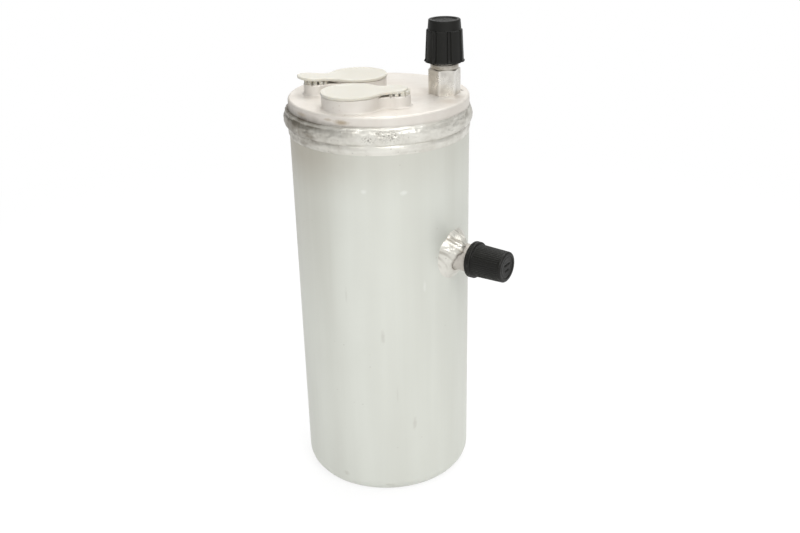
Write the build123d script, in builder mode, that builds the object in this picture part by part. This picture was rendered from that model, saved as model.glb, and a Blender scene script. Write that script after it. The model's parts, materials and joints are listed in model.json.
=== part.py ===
from build123d import *
from math import cos, hypot, radians, sin, sqrt, tan
import os

os.makedirs("parts", exist_ok=True)

# A receiver type of filter drier: an aluminium can with a welded head, two port pads,
# a service valve on top and a switch port in the side. Millimetres, +Z up.
# The origin is the centre of the can's base, and -Y is the front.

# Fits
running_fit = 0.05  # radial clearance of what turns, slides or is pushed in
touch_gap = 0.02  # between two curved faces that lie against each other
face_gap = 0.05  # between a moving face and the face it stops at

# Can
can_r = 45.0
can_wall = 2.5
can_floor = 4.0
can_edge_z = 197.5
base_corner_r = 7.5

# Head
weld_root = 2.0  # gap between the can's edge and the head's shoulder
head_plate = 9.5
head_skirt_wall = 5.0
head_skirt_depth = 6.0
head_rim_round = 1.5
hole_mouth_angle = 90.0  # included angle of every countersunk mouth
head_under_z = can_edge_z + weld_root
head_z = head_under_z + head_plate
head_spigot_r = can_r - can_wall - running_fit

# Seam weld: an uneven bead over a flatter toe, so its centre is a little off the can's
bead_proud = 1.6
bead_off = 0.5
bead_below_edge = 1.8
bead_above_edge = 7.4
toe_proud = 1.05
toe_crease_proud = 0.75
toe_below_edge = 5.9
bead_r = can_r + bead_proud
bead_low_z = can_edge_z - bead_below_edge
bead_high_z = can_edge_z + bead_above_edge
toe_low_z = can_edge_z - toe_below_edge

# Port pads: a round boss and a lobe for the clamp bolt, joined by a waist
pad_boss_r = 14.2
pad_boss_h = 6.5
pad_lobe_r = 6.5
pad_lobe_h = 5.5
pad_waist_r = 8.0
pad_reach = 21.5
port_seat_r = 9.0
port_seat_depth = 4.5
port_pilot_r = 7.0
port_pilot_depth = 8.0
port_passage_r = 6.2
bolt_hole_r = 3.4
bolt_hole_depth = 12.0
bolt_mouth = 0.5
inlet_xy = (-12.8, -26.0)
inlet_turn = 4.0
outlet_xy = (-10.0, 9.0)
outlet_turn = 197.5
boss_z = head_z + pad_boss_h
lobe_z = head_z + pad_lobe_h
port_seat_z = boss_z - port_seat_depth
pilot_floor_z = port_seat_z - port_pilot_depth

# Transit covers
cover_t = 1.5
cover_overhang = 0.4
inlet_tab_r = 6.9
outlet_tab_r = 9.0
cover_waist_r = 9.0
cover_plug_depth = 4.0
cover_plug_wall = 1.2
cover_hinge_share = 0.8  # of the cover's radius, where its tab may bend
inlet_tab_bend = 0.0  # degrees that the tab is bent up
outlet_tab_bend = 3.6

# Service valve
valve_xy = (32.5, -3.0)
valve_hex_flats = 14.0
valve_hex_turn = 5.0
valve_hex_h = 12.4
valve_hex_chamfer_r = 6.8
valve_hex_slope = 35.0  # degrees that the chamfer on the hexagon's corners falls
valve_stub_r = 6.0
valve_stub_len = 9.0
valve_collar_r = 6.9
valve_collar_h = 2.4
valve_neck_r = 6.4
valve_neck_h = 5.2
valve_groove_r = 5.4
valve_groove_h = 3.0
valve_h = 30.2
valve_chamfer = 0.6
valve_core_recess = 2.0  # from the valve's top to the core's pin
gland_r = 6.9
gland_depth = 1.4
gland_undercut_r = 5.2
o_ring_section = 1.25
valve_top_z = head_z + valve_h

# Service cap
cap_gap = 1.0  # between the valve's collar and the cap
cap_seal_room = 1.8
cap_end_wall = 3.9
cap_collar_h = 5.0
cap_low_h = valve_hex_h + valve_collar_h + cap_gap
cap_top_h = valve_h + cap_seal_room + cap_end_wall
cap_shoulder_h = cap_top_h - cap_collar_h
cap_lip_r = 9.9
cap_lip_h = 0.7
cap_foot_r = 9.5
cap_shoulder_r = 8.8
cap_collar_foot_r = 8.1
cap_collar_r = 7.8
cap_rib_count = 8
cap_rib_turn = 10.5
cap_groove_r = 0.9
cap_groove_floor_r = 8.2
cap_dish_r = 6.2
cap_dish_depth = 0.6
cap_chamfer = 0.4
cap_seal_r = 6.2
cap_seal_bore_r = 3.4

# Switch port: its axis is level and points out from the can's axis
switch_z = 132.2
switch_turn = 53.3
switch_stub_r = 5.0
switch_body_r = 7.0
switch_body_len = 9.5
switch_thread_r = 5.5
switch_undercut_r = 4.9
switch_undercut_len = 1.5
switch_thread_len = 15.5
switch_stub_reach = 0.5  # how far the stub stands into the can
switch_chamfer = 0.6
switch_core_recess = 1.3
switch_body_end = can_r + switch_body_len
switch_end = switch_body_end + switch_thread_len
fillet_weld_r = 13.0
fillet_weld_h = 5.0
fillet_weld_belly = 0.8  # how far the weld's face bulges from a straight line

# Switch port cap
switch_cap_gap = 1.0
switch_seal_room = 1.5
switch_cap_end_wall = 3.5
switch_cap_start = switch_body_end + switch_cap_gap
switch_cap_end = switch_end + switch_seal_room + switch_cap_end_wall
switch_flange_r = 9.2
switch_flange_w = 3.0
switch_cap_r = 8.2
switch_cap_tip_r = 7.7
switch_knurl_count = 36
switch_knurl_r = 0.4
switch_cap_chamfer = 1.0
switch_dish_r = 5.6
switch_dish_depth = 0.4
switch_seal_r = 5.3
switch_seal_bore_r = 3.2

# Valve core, used in both the service valve and the switch port
core_bore_r = 2.6
core_len = 9.0
core_room_low = 1.5
core_room_high = 6.0
core_room_r = 1.75
core_pin_r = 0.7
core_pin_reach = 1.2  # how far the pin stands out above the core's body
core_collar_r = 1.55
core_collar_low = 4.6
core_collar_t = 0.8
core_seal_r = 1.9
core_seal_t = 1.0
core_foot_t = 0.6
core_wire_r = 0.2
core_spring_r = 1.2
core_spring_turns = 4

# Pick-up tube and strainer
tube_r = 6.0
tube_wall = 1.0
tube_low_z = 14.0
tube_socket_r = tube_r + running_fit
tube_boss_r = 10.0
tube_boss_depth = 9.5
tube_bead_r = 8.5
tube_bead_h = 2.5
tube_bead_slope_h = 0.6
tube_gland_low = 3.0
tube_gland_h = 2.4
tube_ring_section = 1.8
strainer_r = 9.5
strainer_wall = 1.0
strainer_low_z = 5.0
strainer_cage_h = 13.0
strainer_collar_h = 7.0
strainer_slots = 8
strainer_slot_w = 4.0
strainer_rail_h = 2.0  # solid rings above and below the slots

# Drying bed, from the bottom up
lower_plate_z = 34.0
plate_t = 1.2
pad_t = 6.0
bed_h = 60.0
plate_hole_r = 3.2
plate_rim = 8.5  # from the plate's edge to its outer ring of holes
plate_ring_step = 10.0
plate_counts = (12, 8)  # holes in the outer ring and in the inner one
stack_r = can_r - can_wall - running_fit
stack_skirt_wall = 1.2
spring_wire_r = 1.5
spring_room = 1.95  # between the wire and the head's skirt
spring_r = head_spigot_r - head_skirt_wall - spring_room - spring_wire_r
spring_turns = 5

inner_r = can_r - can_wall
front = -90.0


def port_plane(xy, turn, z):
    """The plane of a port pad at height z, with +X from the port to its bolt hole."""
    return Plane(origin=(*xy, z), x_dir=(cos(radians(turn)), sin(radians(turn)), 0), z_dir=(0, 0, 1))


def bolt_xy(xy, turn):
    return (xy[0] + pad_reach * cos(radians(turn)), xy[1] + pad_reach * sin(radians(turn)))


def profile_plane(seat):
    """The plane through a seat's axis, where a turned part's profile is drawn."""
    return Plane(origin=seat.origin, x_dir=seat.x_dir, z_dir=-seat.y_dir)


def peanut(big_r, small_r, reach, waist_r):
    """Two discs with a concave waist between them. The big one is at the origin."""
    to_big = big_r + waist_r
    to_small = small_r + waist_r
    along = (reach**2 + to_big**2 - to_small**2) / (2 * reach)
    aside = sqrt(to_big**2 - along**2)
    touch_big = (along * big_r / to_big, aside * big_r / to_big)
    touch_small = (reach + (along - reach) * small_r / to_small, aside * small_r / to_small)
    with BuildSketch() as outline:
        with BuildLine():
            ThreePointArc(touch_big, (-big_r, 0), (touch_big[0], -touch_big[1]))
            ThreePointArc(
                (touch_big[0], -touch_big[1]),
                (along, waist_r - aside),
                (touch_small[0], -touch_small[1]),
            )
            ThreePointArc((touch_small[0], -touch_small[1]), (reach + small_r, 0), touch_small)
            ThreePointArc(touch_small, (along, aside - waist_r), touch_big)
        make_face()
    return outline.sketch


inlet_bolt_xy = bolt_xy(inlet_xy, inlet_turn)
outlet_bolt_xy = bolt_xy(outlet_xy, outlet_turn)
ports = ((inlet_xy, inlet_turn, inlet_bolt_xy), (outlet_xy, outlet_turn, outlet_bolt_xy))
valve_seat = Plane(origin=(*valve_xy, head_z))
switch_out = (sin(radians(switch_turn)), -cos(radians(switch_turn)), 0)
switch_side = (cos(radians(switch_turn)), sin(radians(switch_turn)), 0)
switch_seat = Plane(origin=(0, 0, switch_z), x_dir=switch_side, z_dir=switch_out)
switch_axis = Axis((0, 0, switch_z), switch_out)
switch_bore_r = switch_stub_r + running_fit

# Can: drawn in one piece, with a rounded base
with BuildPart() as can:
    inside_corner_r = base_corner_r - can_wall
    with BuildSketch(Plane.XZ):
        with BuildLine():
            Line((0, can_floor), (0, 0))
            Line((0, 0), (can_r - base_corner_r, 0))
            RadiusArc((can_r - base_corner_r, 0), (can_r, base_corner_r), -base_corner_r)
            Line((can_r, base_corner_r), (can_r, can_edge_z))
            Line((can_r, can_edge_z), (inner_r, can_edge_z))
            Line((inner_r, can_edge_z), (inner_r, can_floor + inside_corner_r))
            RadiusArc(
                (inner_r, can_floor + inside_corner_r),
                (inner_r - inside_corner_r, can_floor),
                inside_corner_r,
            )
            Line((inner_r - inside_corner_r, can_floor), (0, can_floor))
        make_face()
    revolve(axis=Axis.Z)
    with BuildSketch(switch_seat):
        Circle(switch_bore_r)
    extrude(amount=can_r + can_wall, mode=Mode.SUBTRACT)

# Head: plate with a skirt that centres it in the can, port pads, and a boss for the pick-up tube
with BuildPart() as end_cap:
    with BuildSketch(Plane.XZ):
        with BuildLine():
            Polyline(
                (0, head_under_z),
                (head_spigot_r - head_skirt_wall, head_under_z),
                (head_spigot_r - head_skirt_wall, head_under_z - head_skirt_depth),
                (head_spigot_r, head_under_z - head_skirt_depth),
                (head_spigot_r, head_under_z),
                (can_r, head_under_z),
                (can_r, head_z),
                (0, head_z),
                close=True,
            )
        make_face()
    revolve(axis=Axis.Z)
    fillet(end_cap.edges().filter_by(GeomType.CIRCLE).group_by(Axis.Z)[-1], radius=head_rim_round)
    with BuildSketch(Plane.XY.offset(head_under_z)):
        with Locations(outlet_xy):
            Circle(tube_boss_r)
    extrude(amount=-tube_boss_depth)
    for xy, turn, bolt in ports:
        with BuildSketch(port_plane(xy, turn, head_z)):
            add(peanut(pad_boss_r, pad_lobe_r, pad_reach, pad_waist_r))
        extrude(amount=pad_lobe_h)
        with BuildSketch(port_plane(xy, turn, head_z)):
            Circle(pad_boss_r)
        extrude(amount=pad_boss_h)
        with Locations((*xy, boss_z)):
            CounterBoreHole(port_pilot_r, port_seat_r, port_seat_depth, boss_z - pilot_floor_z)
        with Locations((*xy, pilot_floor_z)):
            Hole(port_passage_r, pilot_floor_z - head_under_z)
        with Locations((*bolt, lobe_z)):
            CounterSinkHole(bolt_hole_r, bolt_hole_r + bolt_mouth, bolt_hole_depth, hole_mouth_angle)
    with Locations((*outlet_xy, pilot_floor_z)):
        Hole(tube_socket_r, pilot_floor_z - head_under_z + tube_boss_depth)
    with BuildSketch(Plane.XY.offset(head_under_z - tube_boss_depth + tube_gland_low)):
        with Locations(outlet_xy):
            Circle(tube_socket_r + tube_ring_section)
    extrude(amount=tube_gland_h, mode=Mode.SUBTRACT)
    with BuildSketch(valve_seat):
        Circle(gland_r)
    extrude(amount=-gland_depth, mode=Mode.SUBTRACT)
    with BuildSketch(valve_seat):
        Circle(valve_stub_r + running_fit)
    extrude(amount=-head_plate, mode=Mode.SUBTRACT)

# Seam weld: fills the gap at the can's edge and stands proud of can and head
with BuildPart() as seam_weld:
    bead_mid_z = (bead_low_z + bead_high_z) / 2
    toe_mid_z = (toe_low_z + bead_low_z) / 2
    bead_seat_r = can_r + touch_gap
    bead_axis = Axis((-bead_off, 0, 0), (0, 0, 1))
    with BuildSketch(Plane.XZ):
        with BuildLine():
            ThreePointArc(
                (can_r - bead_off, toe_low_z),
                (can_r + toe_proud - bead_off, toe_mid_z),
                (can_r + toe_crease_proud - bead_off, bead_low_z),
            )
            ThreePointArc(
                (can_r + toe_crease_proud - bead_off, bead_low_z),
                (bead_r - bead_off, bead_mid_z),
                (can_r - bead_off, bead_high_z),
            )
            Polyline(
                (can_r - bead_off, bead_high_z),
                (inner_r - bead_off, bead_high_z),
                (inner_r - bead_off, toe_low_z),
                (can_r - bead_off, toe_low_z),
            )
        make_face()
    revolve(axis=bead_axis)
    with BuildSketch(Plane.XY.offset(toe_low_z)):
        Circle(bead_seat_r)
    extrude(amount=bead_high_z - toe_low_z, mode=Mode.SUBTRACT)
    with BuildSketch(Plane.XY.offset(can_edge_z)):
        Circle(bead_seat_r + touch_gap)
        Circle(inner_r, mode=Mode.SUBTRACT)
    extrude(amount=weld_root)


def transit_cover(xy, turn, tab_r, tab_bend):
    """A thin moulded cover on a port pad, held by a hollow plug in the port's seat."""
    lie = port_plane(xy, turn, boss_z)
    plug_r = port_seat_r - running_fit
    cover_r = pad_boss_r + cover_overhang
    hinge_x = cover_r * cover_hinge_share
    bend = radians(tab_bend)
    flap = Plane(
        origin=lie.from_local_coords(Vector(hinge_x, 0, 0)),
        x_dir=lie.x_dir * cos(bend) + lie.z_dir * sin(bend),
        z_dir=lie.z_dir * cos(bend) - lie.x_dir * sin(bend),
    )
    with BuildPart() as cover:
        with BuildSketch(lie):
            Circle(cover_r)
        extrude(amount=cover_t)
        with BuildSketch(flap):
            with Locations((-hinge_x, 0)):
                add(peanut(cover_r, tab_r, pad_reach, cover_waist_r))
            with Locations((-cover_r, 0)):
                Rectangle(2 * cover_r, 2 * cover_r + touch_gap, mode=Mode.SUBTRACT)
        extrude(amount=cover_t)
        with BuildSketch(lie):
            Circle(plug_r)
            Circle(plug_r - cover_plug_wall, mode=Mode.SUBTRACT)
        extrude(amount=-cover_plug_depth)
    return cover


inlet_transit_cover = transit_cover(inlet_xy, inlet_turn, inlet_tab_r, inlet_tab_bend)
outlet_transit_cover = transit_cover(outlet_xy, outlet_turn, outlet_tab_r, outlet_tab_bend)

# Service valve body: threaded stub, hexagon, and the coupler's neck with its groove
collar_top = valve_hex_h + valve_collar_h
groove_low = collar_top + valve_neck_h
with BuildPart() as service_valve_body:
    with BuildSketch(valve_seat):
        RegularPolygon(valve_hex_flats / 2, 6, major_radius=False, rotation=valve_hex_turn)
    extrude(amount=valve_hex_h)
    hex_corner_r = valve_hex_flats / sqrt(3)
    hex_blank_r = hex_corner_r + running_fit
    hex_fall = (hex_blank_r - valve_hex_chamfer_r) * tan(radians(valve_hex_slope))
    with BuildSketch(profile_plane(valve_seat)):
        with BuildLine():
            Polyline(
                (0, 0),
                (hex_blank_r, 0),
                (hex_blank_r, valve_hex_h - hex_fall),
                (valve_hex_chamfer_r, valve_hex_h),
                (0, valve_hex_h),
                close=True,
            )
        make_face()
    revolve(axis=Axis(valve_seat.origin, valve_seat.z_dir), mode=Mode.INTERSECT)
    with BuildSketch(profile_plane(valve_seat)):
        with BuildLine():
            Polyline(
                (0, -valve_stub_len),
                (valve_stub_r - valve_chamfer, -valve_stub_len),
                (valve_stub_r, -valve_stub_len + valve_chamfer),
                (valve_stub_r, -gland_depth - touch_gap),
                (gland_undercut_r, -gland_depth - touch_gap),
                (gland_undercut_r, 0),
                (gland_undercut_r, valve_hex_h),
                (valve_collar_r, valve_hex_h),
                (valve_collar_r, collar_top - valve_chamfer),
                (valve_collar_r - valve_chamfer, collar_top),
                (valve_neck_r, collar_top),
                (valve_neck_r, groove_low),
                (valve_groove_r, groove_low + valve_chamfer),
                (valve_groove_r, groove_low + valve_groove_h - valve_chamfer),
                (valve_neck_r, groove_low + valve_groove_h),
                (valve_neck_r, valve_h - valve_chamfer),
                (valve_neck_r - valve_chamfer, valve_h),
                (0, valve_h),
                close=True,
            )
        make_face()
    revolve(axis=Axis(valve_seat.origin, valve_seat.z_dir))
    with Locations((*valve_xy, valve_top_z)):
        CounterSinkHole(core_bore_r, core_bore_r + valve_chamfer, valve_h + valve_stub_len, hole_mouth_angle)

# Seal under the hexagon
with BuildPart() as service_valve_o_ring:
    with BuildSketch(profile_plane(valve_seat)):
        with Locations(((gland_r + gland_undercut_r) / 2, -gland_depth / 2)):
            Circle(o_ring_section / 2)
    revolve(axis=Axis(valve_seat.origin, valve_seat.z_dir))


def turned(seat, *points):
    """A turned part about a seat's axis. Points are (radius, distance along the axis)."""
    with BuildPart() as part:
        with BuildSketch(profile_plane(seat)):
            with BuildLine():
                Polyline(*points, close=True)
            make_face()
        revolve(axis=Axis(seat.origin, seat.z_dir))
    return part


def ring_points(inner, outer, low, high):
    return ((inner, low), (outer, low), (outer, high), (inner, high))


def valve_core(seat):
    """A tyre-valve type core on a seat plane: its body, pin, seal and spring."""
    guide_r = core_pin_r + running_fit
    pin_top = core_len + core_pin_reach
    seal_low = -core_seal_t
    body = turned(
        seat,
        (guide_r, 0),
        (core_bore_r - running_fit, 0),
        (core_bore_r - running_fit, core_len),
        (guide_r, core_len),
        (guide_r, core_room_high),
        (core_room_r, core_room_high),
        (core_room_r, core_room_low),
        (guide_r, core_room_low),
    )
    pin = turned(
        seat,
        (0, seal_low - core_foot_t),
        (core_seal_r, seal_low - core_foot_t),
        (core_seal_r, seal_low),
        (core_pin_r, seal_low),
        (core_pin_r, core_collar_low),
        (core_collar_r, core_collar_low),
        (core_collar_r, core_collar_low + core_collar_t),
        (core_pin_r, core_collar_low + core_collar_t),
        (core_pin_r, pin_top),
        (0, pin_top),
    )
    seal = turned(seat, *ring_points(core_pin_r, core_seal_r, seal_low, -touch_gap))
    wire_low = core_room_low + core_wire_r + touch_gap
    wire_high = core_collar_low - core_wire_r - touch_gap
    rise = wire_high - wire_low
    wire_seat = seat.offset(wire_low)
    with BuildPart() as spring:
        with BuildLine(wire_seat) as coil:
            Helix(rise / core_spring_turns, rise, core_spring_r, direction=seat.z_dir)
        with BuildSketch(Plane(origin=coil.wires()[0] @ 0, z_dir=coil.wires()[0] % 0)):
            Circle(core_wire_r)
        sweep(path=coil.wires()[0], is_frenet=True)
    return {"body": body, "pin": pin, "seal": seal, "spring": spring}


core_reach = core_len + core_pin_reach
service_core = valve_core(valve_seat.offset(valve_h - valve_core_recess - core_reach))
switch_core = valve_core(switch_seat.offset(switch_end - switch_core_recess - core_reach))

# Service cap: ribbed, tapered body with a smooth collar and a dished end
cap_length = cap_top_h - cap_low_h
cap_bore_depth = cap_length - cap_end_wall
with BuildPart() as service_cap:
    cap_seat = valve_seat.offset(cap_low_h)
    shoulder_at = cap_shoulder_h - cap_low_h
    with BuildSketch(profile_plane(cap_seat)):
        with BuildLine():
            Polyline(
                (0, 0),
                (cap_lip_r, 0),
                (cap_lip_r, cap_lip_h / 2),
                (cap_foot_r, cap_lip_h),
                (cap_shoulder_r, shoulder_at),
                (cap_collar_foot_r, shoulder_at + cap_chamfer),
                (cap_collar_r, cap_length - cap_chamfer),
                (cap_collar_r - cap_chamfer, cap_length),
                (cap_dish_r, cap_length),
                (cap_dish_r - cap_dish_depth, cap_length - cap_dish_depth),
                (0, cap_length - cap_dish_depth),
                close=True,
            )
        make_face()
    revolve(axis=Axis(cap_seat.origin, cap_seat.z_dir))
    with BuildSketch(cap_seat):
        groove_at_r = cap_groove_floor_r + cap_groove_r
        with PolarLocations(groove_at_r, cap_rib_count, start_angle=front + cap_rib_turn):
            Circle(cap_groove_r)
    extrude(amount=shoulder_at, mode=Mode.SUBTRACT)
    with BuildSketch(cap_seat):
        Circle(valve_neck_r + running_fit)
    extrude(amount=cap_bore_depth, mode=Mode.SUBTRACT)
service_cap_seal = turned(
    valve_seat,
    *ring_points(
        cap_seal_bore_r, cap_seal_r, valve_h + face_gap, cap_low_h + cap_bore_depth - touch_gap
    ),
)

# Switch port fitting: its root is cut to the can's curve, and a stub goes through the wall
with BuildPart() as switch_port_fitting:
    with BuildSketch(switch_seat):
        Circle(switch_body_r)
    extrude(amount=switch_body_end)
    with BuildSketch(Plane.XY):
        Circle(can_r + touch_gap)
    extrude(amount=2 * switch_z, mode=Mode.SUBTRACT)
    with BuildSketch(profile_plane(switch_seat)):
        with BuildLine():
            Polyline(
                (0, inner_r - switch_stub_reach),
                (switch_stub_r, inner_r - switch_stub_reach),
                (switch_stub_r, switch_body_end),
                (switch_undercut_r, switch_body_end),
                (switch_undercut_r, switch_body_end + switch_undercut_len),
                (switch_thread_r, switch_body_end + switch_undercut_len + switch_chamfer),
                (switch_thread_r, switch_end - switch_chamfer),
                (switch_thread_r - switch_chamfer, switch_end),
                (0, switch_end),
                close=True,
            )
        make_face()
    revolve(axis=switch_axis)
    with Locations(switch_seat.offset(switch_end)):
        CounterSinkHole(core_bore_r, core_bore_r + switch_chamfer, switch_end, hole_mouth_angle)

# Fillet weld round the fitting's root, cut to the can's curve
with BuildPart() as switch_port_weld:
    weld_bore_r = switch_body_r + touch_gap
    weld_leg = fillet_weld_r - weld_bore_r
    weld_mid_r = (weld_bore_r + fillet_weld_r) / 2
    weld_bulge = fillet_weld_belly / hypot(weld_leg, fillet_weld_h)
    weld_depth = inner_r - can_wall  # deep enough to reach the can all round the weld's edge
    with BuildSketch(profile_plane(switch_seat)):
        with BuildLine():
            Polyline(
                (fillet_weld_r, can_r),
                (fillet_weld_r, weld_depth),
                (weld_bore_r, weld_depth),
                (weld_bore_r, can_r + fillet_weld_h),
            )
            ThreePointArc(
                (weld_bore_r, can_r + fillet_weld_h),
                (weld_mid_r + weld_bulge * fillet_weld_h, can_r + fillet_weld_h / 2 + weld_bulge * weld_leg),
                (fillet_weld_r, can_r),
            )
        make_face()
    revolve(axis=switch_axis)
    with BuildSketch(Plane.XY):
        Circle(can_r + touch_gap)
    extrude(amount=2 * switch_z, mode=Mode.SUBTRACT)

# Switch port cap: flange, finely knurled body and a chamfered, dished end
switch_cap_len = switch_cap_end - switch_cap_start
with BuildPart() as switch_port_cap:
    cap_face = switch_seat.offset(switch_cap_start)
    with BuildSketch(profile_plane(cap_face)):
        with BuildLine():
            Polyline(
                (0, 0),
                (switch_flange_r - cap_chamfer, 0),
                (switch_flange_r, cap_chamfer),
                (switch_flange_r, switch_flange_w - cap_chamfer),
                (switch_flange_r - cap_chamfer, switch_flange_w),
                (switch_cap_r, switch_flange_w),
                (switch_cap_tip_r, switch_cap_len - switch_cap_chamfer),
                (switch_cap_tip_r - switch_cap_chamfer, switch_cap_len),
                (switch_dish_r, switch_cap_len),
                (switch_dish_r - switch_dish_depth, switch_cap_len - switch_dish_depth),
                (0, switch_cap_len - switch_dish_depth),
                close=True,
            )
        make_face()
    revolve(axis=switch_axis)
    with BuildSketch(cap_face.offset(switch_flange_w)):
        with PolarLocations(switch_cap_r, switch_knurl_count):
            RegularPolygon(switch_knurl_r, 4, rotation=0)
    extrude(amount=switch_cap_len - switch_flange_w, mode=Mode.SUBTRACT)
    with BuildSketch(cap_face):
        Circle(switch_thread_r + running_fit)
    extrude(amount=switch_cap_len - switch_cap_end_wall, mode=Mode.SUBTRACT)
switch_cap_seal = turned(
    switch_seat,
    *ring_points(
        switch_seal_bore_r,
        switch_seal_r,
        switch_end + face_gap,
        switch_cap_end - switch_cap_end_wall - touch_gap,
    ),
)

# Pick-up tube, with an upset bead that carries the lower plate
tube_seat = Plane(origin=(*outlet_xy, 0))
tube_bore_r = tube_r - tube_wall
pickup_tube = turned(
    tube_seat,
    (tube_bore_r, tube_low_z),
    (tube_r, tube_low_z),
    (tube_r, lower_plate_z - tube_bead_h),
    (tube_bead_r, lower_plate_z - tube_bead_h + tube_bead_slope_h),
    (tube_bead_r, lower_plate_z),
    (tube_r, lower_plate_z),
    (tube_r, pilot_floor_z),
    (tube_bore_r, pilot_floor_z),
)
gland_low_z = head_under_z - tube_boss_depth + tube_gland_low
with BuildPart() as pickup_tube_o_ring:
    with BuildSketch(profile_plane(tube_seat)):
        with Locations((tube_r + touch_gap + tube_ring_section / 2, gland_low_z + tube_gland_h / 2)):
            Circle(tube_ring_section / 2 - touch_gap)
    revolve(axis=Axis(tube_seat.origin, tube_seat.z_dir))

# Strainer: a slotted cup clasped on the tube's lower end
with BuildPart() as strainer:
    cage_top_z = strainer_low_z + strainer_cage_h
    clasp_r = tube_socket_r + strainer_wall
    with BuildSketch(profile_plane(tube_seat)):
        with BuildLine():
            Polyline(
                (0, strainer_low_z),
                (strainer_r, strainer_low_z),
                (strainer_r, cage_top_z),
                (clasp_r, cage_top_z),
                (clasp_r, cage_top_z + strainer_collar_h),
                (tube_socket_r, cage_top_z + strainer_collar_h),
                (tube_socket_r, cage_top_z - strainer_wall),
                (strainer_r - strainer_wall, cage_top_z - strainer_wall),
                (strainer_r - strainer_wall, strainer_low_z + strainer_wall),
                (0, strainer_low_z + strainer_wall),
                close=True,
            )
        make_face()
    revolve(axis=Axis(tube_seat.origin, tube_seat.z_dir))
    slot_h = strainer_cage_h - 2 * strainer_rail_h
    for turn in range(strainer_slots):
        aim = 360 * turn / strainer_slots
        window = Plane(
            origin=(*outlet_xy, strainer_low_z + strainer_cage_h / 2),
            x_dir=(-sin(radians(aim)), cos(radians(aim)), 0),
            z_dir=(cos(radians(aim)), sin(radians(aim)), 0),
        )
        with BuildSketch(window):
            Rectangle(strainer_slot_w, slot_h)
        extrude(amount=strainer_r + strainer_wall, mode=Mode.SUBTRACT)


# Drying bed: perforated cup, felt, beads, felt, and the same cup the other way up
pad_low_z = lower_plate_z + plate_t
bed_low_z = pad_low_z + pad_t
bed_high_z = bed_low_z + bed_h
upper_plate_z = bed_high_z + pad_t


def perforations():
    """Hole centres in rings round the can's axis, without those that the tube takes."""
    found = []
    for ring, count in enumerate(plate_counts):
        ring_r = stack_r - plate_rim - ring * plate_ring_step
        for step in range(count):
            aim = radians(360 * step / count)
            point = (ring_r * cos(aim), ring_r * sin(aim))
            to_tube = hypot(point[0] - outlet_xy[0], point[1] - outlet_xy[1])
            if to_tube > tube_bead_r + plate_hole_r + plate_t:
                found.append(point)
    return found


def perforated_plate(z, skirt_z):
    """A pressed cup: a perforated disc from z up, with a skirt that starts at skirt_z."""
    with BuildPart() as plate:
        with BuildSketch(Plane.XY.offset(min(z, skirt_z))):
            Circle(stack_r)
        extrude(amount=plate_t + pad_t)
        with BuildSketch(Plane.XY.offset(skirt_z)):
            Circle(stack_r - stack_skirt_wall)
        extrude(amount=pad_t, mode=Mode.SUBTRACT)
        with BuildSketch(Plane.XY.offset(z)):
            with Locations(outlet_xy):
                Circle(tube_socket_r)
            with Locations(*perforations()):
                Circle(plate_hole_r)
        extrude(amount=plate_t, mode=Mode.SUBTRACT)
    return plate


def stack_disc(radius, z, height):
    """A disc of the drying bed with a hole for the tube."""
    with BuildPart() as disc:
        with BuildSketch(Plane.XY.offset(z)):
            Circle(radius)
            with Locations(outlet_xy):
                Circle(tube_socket_r, mode=Mode.SUBTRACT)
        extrude(amount=height)
    return disc


pad_r = stack_r - stack_skirt_wall - running_fit
lower_plate = perforated_plate(lower_plate_z, pad_low_z)
lower_pad = stack_disc(pad_r, pad_low_z, pad_t)
desiccant_bed = stack_disc(stack_r, bed_low_z, bed_h)
upper_pad = stack_disc(pad_r, bed_high_z, pad_t)
upper_plate = perforated_plate(upper_plate_z, bed_high_z)

# Spring that holds the bed down from the head
with BuildPart() as hold_down_spring:
    coil_low_z = upper_plate_z + plate_t + spring_wire_r + touch_gap
    coil_rise = head_under_z - touch_gap - spring_wire_r - coil_low_z
    with BuildLine(Plane.XY.offset(coil_low_z)) as coil:
        Helix(coil_rise / spring_turns, coil_rise, spring_r)
    with BuildSketch(Plane(origin=coil.wires()[0] @ 0, z_dir=coil.wires()[0] % 0)):
        Circle(spring_wire_r)
    sweep(path=coil.wires()[0], is_frenet=True)

pieces = {
    "can": can,
    "end_cap": end_cap,
    "seam_weld": seam_weld,
    "inlet_transit_cover": inlet_transit_cover,
    "outlet_transit_cover": outlet_transit_cover,
    "service_valve_body": service_valve_body,
    "service_valve_o_ring": service_valve_o_ring,
    "service_cap": service_cap,
    "service_cap_seal": service_cap_seal,
    "switch_port_fitting": switch_port_fitting,
    "switch_port_weld": switch_port_weld,
    "switch_port_cap": switch_port_cap,
    "switch_cap_seal": switch_cap_seal,
    "pickup_tube": pickup_tube,
    "pickup_tube_o_ring": pickup_tube_o_ring,
    "strainer": strainer,
    "lower_plate": lower_plate,
    "lower_pad": lower_pad,
    "desiccant_bed": desiccant_bed,
    "upper_pad": upper_pad,
    "upper_plate": upper_plate,
    "hold_down_spring": hold_down_spring,
}
for place, core in (("service", service_core), ("switch", switch_core)):
    for name, piece in core.items():
        pieces[f"{place}_core_{name}"] = piece

for name, piece in pieces.items():
    piece.part.label = name
    export_step(piece.part, f"parts/{name}.step")
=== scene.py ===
import json
from math import atan2, cos, exp, hypot, pi, radians, sin, sqrt, tan

import bmesh
import bpy
from mathutils import Matrix, Vector, noise


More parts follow.
